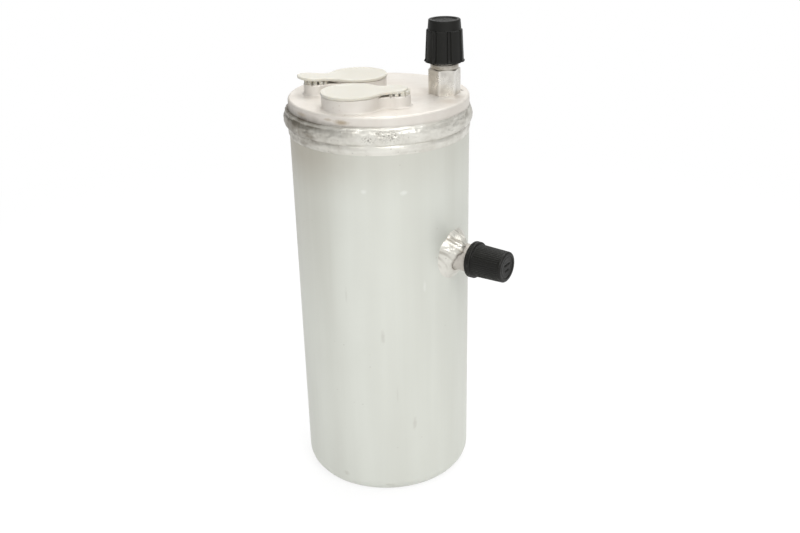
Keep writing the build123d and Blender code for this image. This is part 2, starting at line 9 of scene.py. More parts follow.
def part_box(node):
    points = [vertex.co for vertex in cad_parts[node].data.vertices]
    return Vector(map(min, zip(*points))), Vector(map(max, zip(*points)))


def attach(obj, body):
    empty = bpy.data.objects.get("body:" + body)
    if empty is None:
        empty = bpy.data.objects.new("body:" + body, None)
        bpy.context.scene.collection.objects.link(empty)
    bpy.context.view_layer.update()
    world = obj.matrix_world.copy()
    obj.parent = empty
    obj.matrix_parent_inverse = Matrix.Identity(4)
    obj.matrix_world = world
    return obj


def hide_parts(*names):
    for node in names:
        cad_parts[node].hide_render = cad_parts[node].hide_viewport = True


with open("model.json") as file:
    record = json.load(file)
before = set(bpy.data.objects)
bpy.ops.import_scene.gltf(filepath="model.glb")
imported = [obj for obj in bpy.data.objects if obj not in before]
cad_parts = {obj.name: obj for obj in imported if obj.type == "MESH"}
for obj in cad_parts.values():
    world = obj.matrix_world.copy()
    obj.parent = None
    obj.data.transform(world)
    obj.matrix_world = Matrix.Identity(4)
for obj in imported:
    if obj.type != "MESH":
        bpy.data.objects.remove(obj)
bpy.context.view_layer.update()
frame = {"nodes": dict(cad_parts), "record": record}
print("frame loaded:", len(frame["nodes"]), "pieces")

mm = 0.001
mergeGap = 0.001 * mm
up = Vector((0, 0, 1))


def mountPlace(name):
    for mount in frame["record"]["mounts"]:
        if mount["name"] == name:
            return Vector(mount["pos_m"]), Vector(mount["axis"])


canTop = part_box("can")[1].z
stubLength = 9 * mm  # of the service valve, below the head's top
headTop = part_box("service_valve_body")[0].z + stubLength
inletAt, outletAt, inletBolt, outletBolt, valveAt = (
    mountPlace(name)[0] for name in ("inlet_port", "outlet_port", "inlet_bolt", "outlet_bolt", "service_port")
)
switchTip, switchOut = mountPlace("switch_port")
switchSide = up.cross(switchOut).normalized()


def seatMatrix(origin, out, side):
    side = (side - out * side.dot(out)).normalized()
    return Matrix.Translation(origin) @ Matrix((side, out.cross(side), out)).transposed().to_4x4()


valveSeat = Matrix.Translation((valveAt.x, valveAt.y, headTop))
switchSeat = seatMatrix(Vector((0, 0, switchTip.z)), switchOut, switchSide)


def addObject(name, data):
    item = bpy.data.objects.new(name, data)
    bpy.context.scene.collection.objects.link(item)
    return item


def meshObject(name, bm):
    mesh = bpy.data.meshes.new(name)
    bm.to_mesh(mesh)
    bm.free()
    return addObject(name, mesh)


def finishPiece(name, bm, finish, body, node, smoothAngle=32, matrix=None, flatAbove=2.0):
    # flatAbove: faces whose normal is this much along the piece's own Z are shaded flat
    bmesh.ops.remove_doubles(bm, verts=bm.verts, dist=2 * mergeGap)
    bmesh.ops.recalc_face_normals(bm, faces=bm.faces)
    for face in bm.faces:
        face.smooth = abs(face.normal.z) < flatAbove
    limit = radians(smoothAngle)
    for edge in bm.edges:
        edge.smooth = edge.calc_face_angle(0.0) < limit
    if matrix is not None:
        bmesh.ops.transform(bm, matrix=matrix, verts=bm.verts)
    piece = meshObject(name, bm)
    piece.data.materials.append(finishes[finish])
    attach(piece, body)
    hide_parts(node)


def roundedProfile(points, arcStep=14):
    # points are (r, z) or (r, z, corner radius)
    path = []
    for index, point in enumerate(points):
        if len(point) == 2 or index in (0, len(points) - 1):
            path.append(Vector(point[:2]))
            continue
        corner = Vector(point[:2])
        before = (Vector(points[index - 1][:2]) - corner).normalized()
        after = (Vector(points[index + 1][:2]) - corner).normalized()
        half = before.angle(after) / 2
        reach = point[2] / max(0.05, tan(half))
        centre = corner + (before + after).normalized() * point[2] / sin(half)
        start = corner + before * reach - centre
        end = corner + after * reach - centre
        steps = max(2, int(start.angle(end) / radians(arcStep)))
        for step in range(steps + 1):
            path.append(centre + start.lerp(end, step / steps).normalized() * point[2])
    return path


def subdivided(profile, longest):
    path = [Vector(profile[0])]
    for a, b in zip(profile, profile[1:]):
        a, b = Vector(a), Vector(b)
        count = max(1, int((b - a).length / longest + 0.5))
        path += [a.lerp(b, step / count) for step in range(1, count + 1)]
    return path


def spun(profile, steps):
    # a closed body turned about Z; the profile is a loop unless it starts and ends on the axis
    bm = bmesh.new()
    verts = [bm.verts.new((point[0] * mm, 0, point[1] * mm)) for point in profile]
    for a, b in zip(verts, verts[1:]):
        bm.edges.new((a, b))
    if max(profile[0][0], profile[-1][0]) > 1e-6:
        bm.edges.new((verts[-1], verts[0]))
    bmesh.ops.spin(
        bm, geom=bm.verts[:] + bm.edges[:], cent=(0, 0, 0), axis=up, dvec=(0, 0, 0), angle=2 * pi,
        steps=steps, use_merge=True, use_duplicate=False,
    )
    bmesh.ops.remove_doubles(bm, verts=bm.verts, dist=mergeGap)
    return bm


def stackRings(rings):
    # rings are equal-length lists of points; each is pulled out of the one before
    bm = bmesh.new()
    verts = [bm.verts.new(point) for point in rings[0]]
    edges = [bm.edges.new((verts[i - 1], verts[i])) for i in range(len(verts))]
    bmesh.ops.contextual_create(bm, geom=edges)
    order = {vert: i for i, vert in enumerate(verts)}
    for ring in rings[1:]:
        made = bmesh.ops.extrude_edge_only(bm, edges=edges)["geom"]
        following = {}
        for vert in (item for item in made if isinstance(item, bmesh.types.BMVert)):
            around = [edge.other_vert(vert) for edge in vert.link_edges]
            below = next(order[other] for other in around if other in order)
            following[vert] = below
            vert.co = ring[below]
        order = following
        made = [item for item in made if isinstance(item, bmesh.types.BMEdge)]
        edges = [edge for edge in made if all(vert in order for vert in edge.verts)]
    bmesh.ops.contextual_create(bm, geom=edges)
    return bm


def joined(bm, *tools, operation="DIFFERENCE"):
    # exact booleans on plain meshes; returns a new bmesh
    bmesh.ops.recalc_face_normals(bm, faces=bm.faces)
    holder = meshObject("workPiece", bm)
    helpers = [holder]
    for tool in tools:
        bmesh.ops.recalc_face_normals(tool, faces=tool.faces)
        helpers.append(meshObject("workTool", tool))
        step = holder.modifiers.new("join", "BOOLEAN")
        step.operation = operation
        step.solver = "EXACT"
        step.object = helpers[-1]
    graph = bpy.context.evaluated_depsgraph_get()
    result = bmesh.new()
    result.from_mesh(holder.evaluated_get(graph).to_mesh())
    for helper in helpers:
        mesh = helper.data
        bpy.data.objects.remove(helper)
        bpy.data.meshes.remove(mesh)
    return result


def peanutRing(bigR, smallR, reach, waistR, grow, steps):
    # outline of two discs joined by a hollow waist, grown outwards evenly
    big, small, waist = bigR + grow, smallR + grow, waistR - grow
    toBig, toSmall = big + waist, small + waist
    along = (reach**2 + toBig**2 - toSmall**2) / (2 * reach)
    aside = sqrt(toBig**2 - along**2)
    bigAngle = atan2(aside, along)
    smallAngle = atan2(aside, along - reach)
    points = []
    arcs = (
        ((0, 0), big, bigAngle, 2 * pi - bigAngle, 2 * steps),
        ((along, -aside), waist, pi - bigAngle, pi - smallAngle, steps // 2),
        ((reach, 0), small, -smallAngle, smallAngle, steps),
        ((along, aside), waist, pi + smallAngle, pi + bigAngle, steps // 2),
    )
    for centre, radius, start, end, count in arcs:
        for step in range(count):
            angle = start + (end - start) * step / count
            points.append((centre[0] + radius * cos(angle), centre[1] + radius * sin(angle)))
    return points


def peanutStack(levels, *outline, steps=40):
    # levels are (growth, z) of one outline
    return stackRings([
        [Vector((x * mm, y * mm, z * mm)) for x, y in peanutRing(*outline, grow, steps)] for grow, z in levels
    ])


def padMatrix(port, bolt, z):
    side = Vector((bolt.x - port.x, bolt.y - port.y, 0)).normalized()
    return seatMatrix(Vector((port.x, port.y, z)), up, side)


def boltReach(port, bolt):
    return (Vector((bolt.x, bolt.y)) - Vector((port.x, port.y))).length / mm


def hump(value, centre, width):
    return exp(-(((value - centre) / width) ** 2))


def turnedHump(angle, centre, width):
    # hump round a full turn; centre and width in degrees
    gap = (angle - radians(centre) + pi) % (2 * pi) - pi
    return exp(-((gap / radians(width)) ** 2))


def polar(vert):
    x, y, z = vert.co / mm
    return x, y, z, hypot(x, y), atan2(y, x)


def setRadius(vert, r, angle):
    vert.co.x, vert.co.y = r * cos(angle) * mm, r * sin(angle) * mm


def onCircle(angle, reach, level):
    # noise is read on a circle, so that it closes after a full turn
    return Vector((cos(angle) * reach, sin(angle) * reach, level))


def newGroup(name, outputs, **inputs):
    # a group takes a Vector and its other inputs, given with their first values
    group = bpy.data.node_groups.new(name, "ShaderNodeTree")
    for label, value in {"Vector": (0, 0, 0), **inputs}.items():
        kind = "NodeSocketVector" if isinstance(value, tuple) else "NodeSocketFloat"
        socket = group.interface.new_socket(name=label, in_out="INPUT", socket_type=kind)
        socket.default_value = value
    for label in outputs:
        group.interface.new_socket(name=label, in_out="OUTPUT", socket_type="NodeSocketFloat")
    enter = group.nodes.new("NodeGroupInput")
    leave = group.nodes.new("NodeGroupOutput")
    return group, enter.outputs, leave.inputs


def link(tree, source, target):
    if isinstance(source, (int, float, tuple)):
        target.default_value = source
    else:
        tree.links.new(source, target)


def newNode(tree, kind, **inputs):
    node = tree.nodes.new("ShaderNode" + kind)
    for label, source in inputs.items():
        link(tree, source, node.inputs[label])
    return node


def mathNode(tree, operation, a, b=0.0, clamp=False):
    node = newNode(tree, "Math")
    node.operation = operation
    node.use_clamp = clamp
    link(tree, a, node.inputs[0])
    link(tree, b, node.inputs[1])
    return node.outputs[0]


def product(tree, *factors):
    result = factors[0]
    for factor in factors[1:]:
        result = mathNode(tree, "MULTIPLY", result, factor)
    return result


def total(tree, a, b):
    return mathNode(tree, "ADD", a, b)


def vectorNode(tree, operation, a, b):
    node = newNode(tree, "VectorMath")
    node.operation = operation
    link(tree, a, node.inputs[0])
    link(tree, b, node.inputs["Scale"] if operation == "SCALE" else node.inputs[1])
    return node.outputs["Value"] if operation == "LENGTH" else node.outputs["Vector"]


def noiseNode(tree, vector, scale, detail=2.0, roughness=0.5, output="Fac"):
    node = newNode(tree, "TexNoise", Vector=vector, Scale=scale, Detail=detail, Roughness=roughness)
    return node.outputs[output]


def cellNode(tree, vector, scale, feature):
    node = newNode(tree, "TexVoronoi", Vector=vector, Scale=scale)
    node.feature = feature
    return node.outputs


def rangeNode(tree, value, low, high, outLow=0.0, outHigh=1.0, smooth=False):
    node = newNode(tree, "MapRange")
    node.interpolation_type = "SMOOTHSTEP" if smooth else "LINEAR"
    settings = {"Value": value, "From Min": low, "From Max": high, "To Min": outLow, "To Max": outHigh}
    for label, item in settings.items():
        link(tree, item, node.inputs[label])
    return node.outputs["Result"]


def mixColor(tree, factor, a, b):
    node = newNode(tree, "Mix")
    node.data_type = "RGBA"
    link(tree, factor, node.inputs[0])
    link(tree, a, node.inputs[6])
    link(tree, b, node.inputs[7])
    return node.outputs[2]


def mapped(tree, vector, scale, turn=(0, 0, 0)):
    return newNode(tree, "Mapping", Vector=vector, Scale=scale, Rotation=turn).outputs["Vector"]


def separated(tree, place):
    return newNode(tree, "SeparateXYZ", Vector=place).outputs


def drawnGrainGroup():
    # fine streaks along the piece's axis, from drawing, and slow clouds
    outputs = ("Streaks", "Bands", "Clouds")
    group, given, out = newGroup("drawnGrain", outputs, Fineness=900.0, Unevenness=40.0)
    place, unevenness = given["Vector"], given["Unevenness"]
    along = mapped(group, place, (1, 1, 0.02))
    link(group, noiseNode(group, along, given["Fineness"], 3, 0.6), out["Streaks"])
    squat = mapped(group, place, (1, 1, 0.12))
    link(group, noiseNode(group, squat, product(group, unevenness, 2.0), 2, 0.5), out["Bands"])
    link(group, noiseNode(group, place, unevenness, 4, 0.55), out["Clouds"])
    return group


def turnedGrainGroup():
    # fine rings about the piece's Z, from facing on a lathe
    group, given, out = newGroup("turnedGrain", ("Rings",), Fineness=1200.0)
    parts = separated(group, given["Vector"])
    flat = newNode(group, "CombineXYZ", X=parts[0], Y=parts[1]).outputs[0]
    radius = vectorNode(group, "LENGTH", flat, (0, 0, 0))
    line = newNode(group, "CombineXYZ", X=radius).outputs[0]
    drift = vectorNode(group, "SCALE", given["Vector"], 0.004)
    drifting = vectorNode(group, "ADD", line, drift)
    link(group, noiseNode(group, drifting, given["Fineness"], 3, 0.6), out["Rings"])
    return group


def scratchGroup():
    # thin crossing scratches where a cell border meets a patchy mask
    group, given, out = newGroup("scratches", ("Mask",), Scale=90.0, Width=0.012, Amount=0.5)
    wobble = noiseNode(group, given["Vector"], 60.0, output="Color")
    warped = vectorNode(group, "ADD", given["Vector"], vectorNode(group, "SCALE", wobble, 0.004))
    stretched = mapped(group, warped, (1, 1, 0.35), (0.5, 0.3, 0.2))
    border = cellNode(group, stretched, given["Scale"], "DISTANCE_TO_EDGE")["Distance"]
    line = rangeNode(group, border, 0.0, given["Width"], 1.0, 0.0)
    patches = noiseNode(group, given["Vector"], 55.0, 2, 0.6)
    spread = mathNode(group, "SUBTRACT", 1.0, product(group, given["Amount"], 0.6))
    patchy = rangeNode(group, patches, spread, total(group, spread, 0.12), smooth=True)
    link(group, mathNode(group, "MULTIPLY", line, patchy, clamp=True), out["Mask"])
    return group


def speckGroup():
    # small pits and dust specks
    group, given, out = newGroup("specks", ("Mask",), Scale=400.0, Size=0.2, Amount=0.5)
    cells = cellNode(group, given["Vector"], given["Scale"], "F1")
    core = product(group, given["Size"], 0.4)
    spot = rangeNode(group, cells["Distance"], core, given["Size"], 1.0, 0.0, True)
    channel = newNode(group, "SeparateColor", Color=cells["Color"]).outputs[0]
    chosen = mathNode(group, "LESS_THAN", channel, given["Amount"])
    link(group, product(group, spot, chosen), out["Mask"])
    return group


def edgeWearGroup():
    # where the surface bends outwards
    group, given, out = newGroup("edgeWear", ("Mask",), Amount=0.5)
    bend = newNode(group, "NewGeometry").outputs["Pointiness"]
    rough = noiseNode(group, given["Vector"], 350.0, 3, 0.6)
    raised = total(group, bend, product(group, rough, 0.03))
    sharp = rangeNode(group, raised, 0.53, 0.6, smooth=True)
    link(group, product(group, sharp, given["Amount"]), out["Mask"])
    return group


def smudgeGroup():
    # one soft oval mark with a ragged edge
    group, given, out = newGroup("smudge", ("Mask",), Centre=(0, 0, 0), Size=(1, 1, 1), Raggedness=0.5)
    offset = vectorNode(group, "SUBTRACT", given["Vector"], given["Centre"])
    length = vectorNode(group, "LENGTH", vectorNode(group, "DIVIDE", offset, given["Size"]), (0, 0, 0))
    torn = noiseNode(group, given["Vector"], 420.0, 3, 0.6)
    shift = product(group, mathNode(group, "SUBTRACT", torn, 0.5), given["Raggedness"])
    away = total(group, length, shift)
    link(group, rangeNode(group, away, 0.1, 1.0, 1.0, 0.0, True), out["Mask"])
    return group


groups = {
    "drawn": drawnGrainGroup(),
    "turned": turnedGrainGroup(),
    "scratches": scratchGroup(),
    "specks": speckGroup(),
    "wear": edgeWearGroup(),
    "smudge": smudgeGroup(),
}


def useGroup(tree, name, vector, output="Mask", **values):
    node = newNode(tree, "Group")
    node.node_tree = groups[name]
    for label, value in {"Vector": vector, **values}.items():
        link(tree, value, node.inputs[label])
    return node.outputs[output]


def newMaterial(name, shaderInputs):
    material = bpy.data.materials.new(name)
    material.use_nodes = True
    tree = material.node_tree
    for label, value in shaderInputs.items():
        tree.nodes["Principled BSDF"].inputs[label].default_value = value
    return material, tree, newNode(tree, "TexCoord").outputs["Object"]


def setSurface(tree, look, colour, glossBy, height, extraRough=None):
    # bumpDepth is in millimetres
    shader = tree.nodes["Principled BSDF"]
    middle = look["shader"]["Roughness"]
    rough = rangeNode(tree, glossBy, 0.3, 0.7, middle - look["smoother"], middle + look["rougher"])
    if extraRough is not None:
        rough = total(tree, rough, extraRough)
    bump = newNode(tree, "Bump", Strength=look["bump"], Distance=look["bumpDepth"] * mm, Height=height)
    tree.links.new(colour, shader.inputs["Base Color"])
    tree.links.new(rough, shader.inputs["Roughness"])
    tree.links.new(bump.outputs["Normal"], shader.inputs["Normal"])


def stained(tree, colour, mask, strength, tone):
    return mixColor(tree, product(tree, mask, strength), colour, tone)


def marked(tree, place, colour, marks, tone):
    # marks are (x, y, z, across, high, strength) in millimetres
    for x, y, z, across, high, strength in marks:
        centre, reach = (x * mm, y * mm, z * mm), (across * mm, across * mm, high * mm)
        mask = useGroup(tree, "smudge", place, Centre=centre, Size=reach, Raggedness=0.9)
        colour = stained(tree, colour, mask, strength, tone)
    return colour


def attributeNode(tree, name):
    node = newNode(tree, "Attribute")
    node.attribute_name = name
    return node.outputs["Fac"]


def canAluminium():
    # the heat tint brown also colours the painted shade on the upper left of the can
    look = {
        "bare": (0.715, 0.73, 0.675, 1), "dull": (0.655, 0.665, 0.61, 1), "heatAndShade": (0.44, 0.41, 0.345, 1),
        "scuff": (0.47, 0.45, 0.40, 1), "rub": (0.84, 0.85, 0.82, 1), "heatLow": 34.0, "heatHigh": 7.0,
        "tintAndShade": 0.4, "shader": {"Metallic": 0.4, "Roughness": 0.46}, "smoother": 0.04, "rougher": 0.06,
        "bump": 0.2, "bumpDepth": 0.08,
    }
    scuffs = (
        (-1.4, -45, 96, 1.6, 5.0, 0.35), (14, -42.8, 43, 1.6, 5.0, 0.35),
        (-23.2, -38.5, 9.7, 2.6, 2.0, 0.35), (-0.1, -45, 5.5, 4.0, 1.6, 0.4),
        (5.2, -44.7, 62, 0.7, 7.0, 0.2), (-19, -40.8, 118, 0.8, 6.0, 0.2),
    )
    rubs = (
        (-8.4, -44.2, 173, 2.0, 1.6, 0.5), (10.6, -43.7, 171.8, 2.6, 1.6, 0.5),
        (20, -40.3, 121, 1.2, 4.0, 0.3),
    )
    material, tree, place = newMaterial("canAluminium", look["shader"])
    streaks, bands, clouds = (
        useGroup(tree, "drawn", place, output, Fineness=700.0, Unevenness=24.0)
        for output in ("Streaks", "Bands", "Clouds")
    )
    parts = separated(tree, place)
    colour = mixColor(tree, rangeNode(tree, bands, 0.35, 0.7), look["bare"], look["dull"])
    colour = stained(tree, colour, rangeNode(tree, clouds, 0.5, 0.75), 0.35, look["dull"])
    # heat tint near the weld; its stronger left side is painted shade
    heatLow, heatHigh = canTop - look["heatLow"] * mm, canTop - look["heatHigh"] * mm
    nearWeld = rangeNode(tree, parts[2], heatLow, heatHigh, smooth=True)
    toLeft = rangeNode(tree, parts[0], -0.043, 0.0, 1.0, 0.35, True)
    heatAndShade = product(tree, nearWeld, rangeNode(tree, clouds, 0.3, 0.65, 0.6, 0.9), toLeft)
    colour = mixColor(tree, heatAndShade, colour, look["heatAndShade"])
    # painted shade: the upper left of the can is darkened towards the heat tint brown
    farLeft = rangeNode(tree, parts[0], -0.045, -0.015, 1.0, 0.0, True)
    shade = product(tree, rangeNode(tree, parts[2], 0.09, 0.185, smooth=True), farLeft, look["tintAndShade"])
    colour = mixColor(tree, shade, colour, look["heatAndShade"])
    marks = useGroup(tree, "scratches", place, Scale=70.0, Width=0.01, Amount=0.62)
    specks = useGroup(tree, "specks", place, Scale=230.0, Size=0.14, Amount=0.08)
    colour = stained(tree, colour, marks, 0.22, look["rub"])
    colour = stained(tree, colour, specks, 0.3, look["scuff"])
    colour = marked(tree, place, colour, scuffs, look["scuff"])
    colour = marked(tree, place, colour, rubs, look["rub"])
    height = total(tree, product(tree, streaks, 0.4), clouds)
    setSurface(tree, look, colour, streaks, height, product(tree, marks, 0.08))
    return material


def headAluminium():
    # the darkest colour here is painted shade, for the groove and the dark spots
    look = {
        "bare": (0.745, 0.71, 0.66, 1), "dull": (0.665, 0.62, 0.565, 1), "bronze": (0.40, 0.32, 0.22, 1),
        "bright": (0.84, 0.81, 0.76, 1), "paintedShade": (0.12, 0.10, 0.08, 1), "grooveZ": 203.8, "grooveFade": 1.3,
        "leftFade": 5.0, "shader": {"Metallic": 0.4, "Roughness": 0.54}, "smoother": 0.06, "rougher": 0.1,
        "bump": 0.35, "bumpDepth": 0.07,
    }
    bronzeMarks = (
        (-17.6, -41.4, 206.0, 5.5, 1.6, 0.8), (-24, -38.0, 206.6, 4.0, 1.0, 0.5),
        (-36, -26.5, 206.2, 6.0, 1.4, 0.5), (33, -20, 209, 7.0, 1.0, 0.25), (38, -12, 209, 5.0, 1.0, 0.3),
    )
    # painted shade and shadows: dark spots in a small notch by the rim, on the top face and under the covers'
    # waists
    shadowSpots = (
        (41.3, 0.9, 209, 1.5, 0.6, 0.85), (40.9, 2.4, 209, 1.0, 0.6, 0.7), (24.5, -5.5, 209, 1.4, 0.5, 0.35),
        (-32.5, -3.6, 214.2, 0.8, 0.5, 0.6), (-28.0, -3.7, 214.3, 0.7, 0.5, 0.6),
        (5.5, -30.3, 214.2, 0.8, 0.5, 0.6), (12.5, -29.5, 214.2, 0.7, 0.5, 0.6),
    )
    material, tree, place = newMaterial("headAluminium", look["shader"])
    clouds = noiseNode(tree, place, 60.0, 4, 0.55)
    rings = useGroup(tree, "turned", place, "Rings", Fineness=900.0)
    colour = mixColor(tree, rangeNode(tree, clouds, 0.38, 0.72), look["bare"], look["dull"])
    colour = stained(tree, colour, useGroup(tree, "wear", place, Amount=0.5), 1.0, look["bright"])
    colour = stained(tree, colour, rangeNode(tree, rings, 0.52, 0.7), 0.25, look["dull"])
    specks = useGroup(tree, "specks", place, Scale=380.0, Size=0.2, Amount=0.10)
    colour = stained(tree, colour, specks, 0.3, look["bronze"])
    # painted shade: the wall just above the weld groove is darkened, most on the left
    parts = separated(tree, place)
    onWall = rangeNode(tree, parts[2], 0.2092, 0.2088)
    reach = rangeNode(tree, parts[0], -0.044, -0.012, look["leftFade"] * mm, look["grooveFade"] * mm, True)
    above = mathNode(tree, "SUBTRACT", parts[2], look["grooveZ"] * mm)
    atGroove = mathNode(tree, "SUBTRACT", 1.0, mathNode(tree, "DIVIDE", above, reach), clamp=True)
    toLeft = rangeNode(tree, parts[0], -0.042, 0.02, 1.0, 0.25, True)
    ragged = rangeNode(tree, noiseNode(tree, place, 160.0, 3, 0.6), 0.3, 0.6, 0.55, 1.0)
    colour = stained(tree, colour, product(tree, atGroove, onWall, toLeft, ragged), 0.9, look["paintedShade"])
    colour = marked(tree, place, colour, bronzeMarks, look["bronze"])
    colour = marked(tree, place, colour, shadowSpots, look["paintedShade"])
    fine = noiseNode(tree, place, 1500.0, 3, 0.6)
    height = total(tree, total(tree, fine, product(tree, rings, 0.8)), product(tree, clouds, 2.0))
    setSurface(tree, look, colour, clouds, height)
    return material


def weldAluminium():
    # heat tint and painted shade are stored on the welds' points as they are shaped: shade in creases, pits
    # and crevices, and on the seam weld a lighter lip as painted highlight
    look = {
        "bare": (0.81, 0.795, 0.735, 1), "dull": (0.69, 0.67, 0.61, 1), "heatAndShade": (0.215, 0.192, 0.155, 1),
        "paintedShade": (0.075, 0.055, 0.038, 1), "shader": {"Metallic": 0.6, "Roughness": 0.36}, "smoother": 0.08,
        "rougher": 0.12, "bump": 0.45, "bumpDepth": 0.16,
    }
    material, tree, place = newMaterial("weldAluminium", look["shader"])
    clouds = noiseNode(tree, place, 120.0, 4, 0.6)
    fine = noiseNode(tree, place, 900.0, 4, 0.65)
    colour = mixColor(tree, rangeNode(tree, clouds, 0.4, 0.75, smooth=True), look["bare"], look["dull"])
    heatAndShade = product(tree, attributeNode(tree, "tintAndShade"), rangeNode(tree, clouds, 0.3, 0.6, 0.7, 1.0))
    colour = mixColor(tree, heatAndShade, colour, look["heatAndShade"])
    pits = useGroup(tree, "specks", place, Scale=620.0, Size=0.3, Amount=0.12)
    colour = stained(tree, colour, pits, 0.3, look["heatAndShade"])
    # painted shade read from the points, in creases, pits and the crevice
    paintedShade = product(tree, attributeNode(tree, "paintedShade"), rangeNode(tree, fine, 0.3, 0.55, 0.55, 1.0))
    colour = mixColor(tree, paintedShade, colour, look["paintedShade"])
    height = total(tree, fine, product(tree, clouds, 1.5))
    height = mathNode(tree, "SUBTRACT", height, product(tree, pits, 0.6))
    setSurface(tree, look, colour, clouds, height, product(tree, paintedShade, 0.3))
    return material


def platedSteel():
    look = {
        "bright": (0.60, 0.575, 0.52, 1), "dull": (0.38, 0.35, 0.305, 1), "dark": (0.16, 0.14, 0.12, 1),
        "worn": (0.85, 0.83, 0.79, 1), "shader": {"Metallic": 0.85, "Roughness": 0.3}, "smoother": 0.08,
        "rougher": 0.1, "bump": 0.3, "bumpDepth": 0.06,
    }
    # painted shade: dark patches on the valve body, one along the top edge of the hex
    hexShade = (
        (31.0, -10.0, 219.5, 2.2, 2.2, 0.5), (34.5, -9.6, 217.0, 1.6, 2.0, 0.35),
        (27.5, -8.5, 221.2, 2.4, 0.7, 0.7), (26.2, -6.0, 213.0, 1.6, 2.5, 0.3),
    )
    material, tree, place = newMaterial("platedSteel", look["shader"])
    clouds = noiseNode(tree, place, 240.0, 4, 0.6)
    colour = mixColor(tree, rangeNode(tree, clouds, 0.38, 0.7), look["bright"], look["dull"])
    marks = useGroup(tree, "scratches", place, Scale=260.0, Width=0.03, Amount=0.7)
    pits = useGroup(tree, "specks", place, Scale=700.0, Size=0.28, Amount=0.2)
    colour = stained(tree, colour, mathNode(tree, "MAXIMUM", marks, pits), 0.4, look["dark"])
    colour = marked(tree, place, colour, hexShade, look["dark"])
    colour = stained(tree, colour, useGroup(tree, "wear", place, Amount=0.8), 1.0, look["worn"])
    setSurface(tree, look, colour, clouds, mathNode(tree, "SUBTRACT", clouds, product(tree, marks, 0.6)))
    return material


def blackPlastic():
    look = {
        "body": (0.0085, 0.0085, 0.0072, 1), "worn": (0.045, 0.045, 0.04, 1),
        "smoother": 0.06, "rougher": 0.1, "bump": 0.18, "bumpDepth": 0.05,
        "shader": {"Metallic": 0.0, "Roughness": 0.42, "Specular IOR Level": 0.26},
    }
    material, tree, place = newMaterial("blackPlastic", look["shader"])
    cloud = noiseNode(tree, place, 180.0, 3, 0.55)
    wear = useGroup(tree, "wear", place, Amount=0.6)
    dust = useGroup(tree, "specks", place, Scale=900.0, Size=0.2, Amount=0.05)
    pale = mathNode(tree, "MAXIMUM", wear, product(tree, dust, 0.4))
    colour = stained(tree, look["body"], pale, 1.0, look["worn"])
    setSurface(tree, look, colour, cloud, noiseNode(tree, place, 2600.0, 3, 0.6))
    return material


def coverPlastic():
    look = {
        "body": (0.60, 0.575, 0.50, 1), "milky": (0.65, 0.63, 0.565, 1), "rubbed": (0.50, 0.48, 0.41, 1),
        "smoother": 0.08, "rougher": 0.1, "bump": 0.15, "bumpDepth": 0.08,
        "shader": {
            "Metallic": 0.0, "Roughness": 0.42, "Specular IOR Level": 0.4, "Subsurface Weight": 0.3,
            "Subsurface Radius": (1.0, 0.9, 0.7), "Subsurface Scale": 1.2 * mm,
        },
    }
    material, tree, place = newMaterial("coverPlastic", look["shader"])
    cloud = noiseNode(tree, place, 90.0, 3, 0.5)
    marks = useGroup(tree, "scratches", place, Scale=160.0, Width=0.02, Amount=0.7)
    dust = useGroup(tree, "specks", place, Scale=520.0, Size=0.2, Amount=0.08)
    colour = mixColor(tree, rangeNode(tree, cloud, 0.3, 0.7), look["body"], look["milky"])
    colour = stained(tree, colour, mathNode(tree, "MAXIMUM", marks, dust), 0.25, look["rubbed"])
    setSurface(tree, look, colour, cloud, total(tree, noiseNode(tree, place, 700.0, 2, 0.5), cloud))
    return material


def simpleFinish(name, light, dark, metallic, rough, scale, bump):
    # hidden or small pieces: two tones, uneven gloss and a fine surface
    look = {
        "light": (*light, 1), "dark": (*dark, 1), "shader": {"Metallic": metallic, "Roughness": rough},
        "smoother": 0.2 * rough, "rougher": 0.2 * rough, "bump": bump, "bumpDepth": 0.1,
    }
    material, tree, place = newMaterial(name, look["shader"])
    cloud = noiseNode(tree, place, scale, 4, 0.6)
    marks = useGroup(tree, "scratches", place, Scale=scale * 0.6, Width=0.03, Amount=0.6)
    colour = mixColor(tree, rangeNode(tree, cloud, 0.35, 0.7), look["light"], look["dark"])
    setSurface(tree, look, stained(tree, colour, marks, 0.3, look["light"]), cloud, cloud)
    return material


finishes = {
    "can": canAluminium(),
    "head": headAluminium(),
    "weld": weldAluminium(),
    "steel": platedSteel(),
    "black": blackPlastic(),
    "cover": coverPlastic(),
    "tube": simpleFinish("tubeAluminium", (0.78, 0.78, 0.78), (0.62, 0.62, 0.62), 1.0, 0.3, 200.0, 0.2),
    "pressed": simpleFinish("pressedSteel", (0.62, 0.62, 0.6), (0.45, 0.45, 0.43), 1.0, 0.35, 160.0, 0.2),
    "wire": simpleFinish("springWire", (0.5, 0.5, 0.5), (0.32, 0.32, 0.33), 1.0, 0.3, 400.0, 0.2),
    "brass": simpleFinish("coreBrass", (0.83, 0.66, 0.35), (0.62, 0.46, 0.22), 1.0, 0.28, 600.0, 0.2),
    "rubber": simpleFinish("sealRubber", (0.035, 0.035, 0.035), (0.018, 0.018, 0.018), 0.0, 0.55, 500.0, 0.3),
    "felt": simpleFinish("bedFelt", (0.80, 0.78, 0.72), (0.62, 0.60, 0.55), 0.0, 0.95, 700.0, 0.8),
    "beads": simpleFinish("sieveBeads", (0.80, 0.73, 0.62), (0.62, 0.54, 0.44), 0.0, 0.8, 500.0, 1.0),
    "strainer": simpleFinish("strainerPlastic", (0.86, 0.86, 0.82), (0.74, 0.74, 0.7), 0.0, 0.5, 300.0, 0.2),
}
print("materials made:", len(finishes))


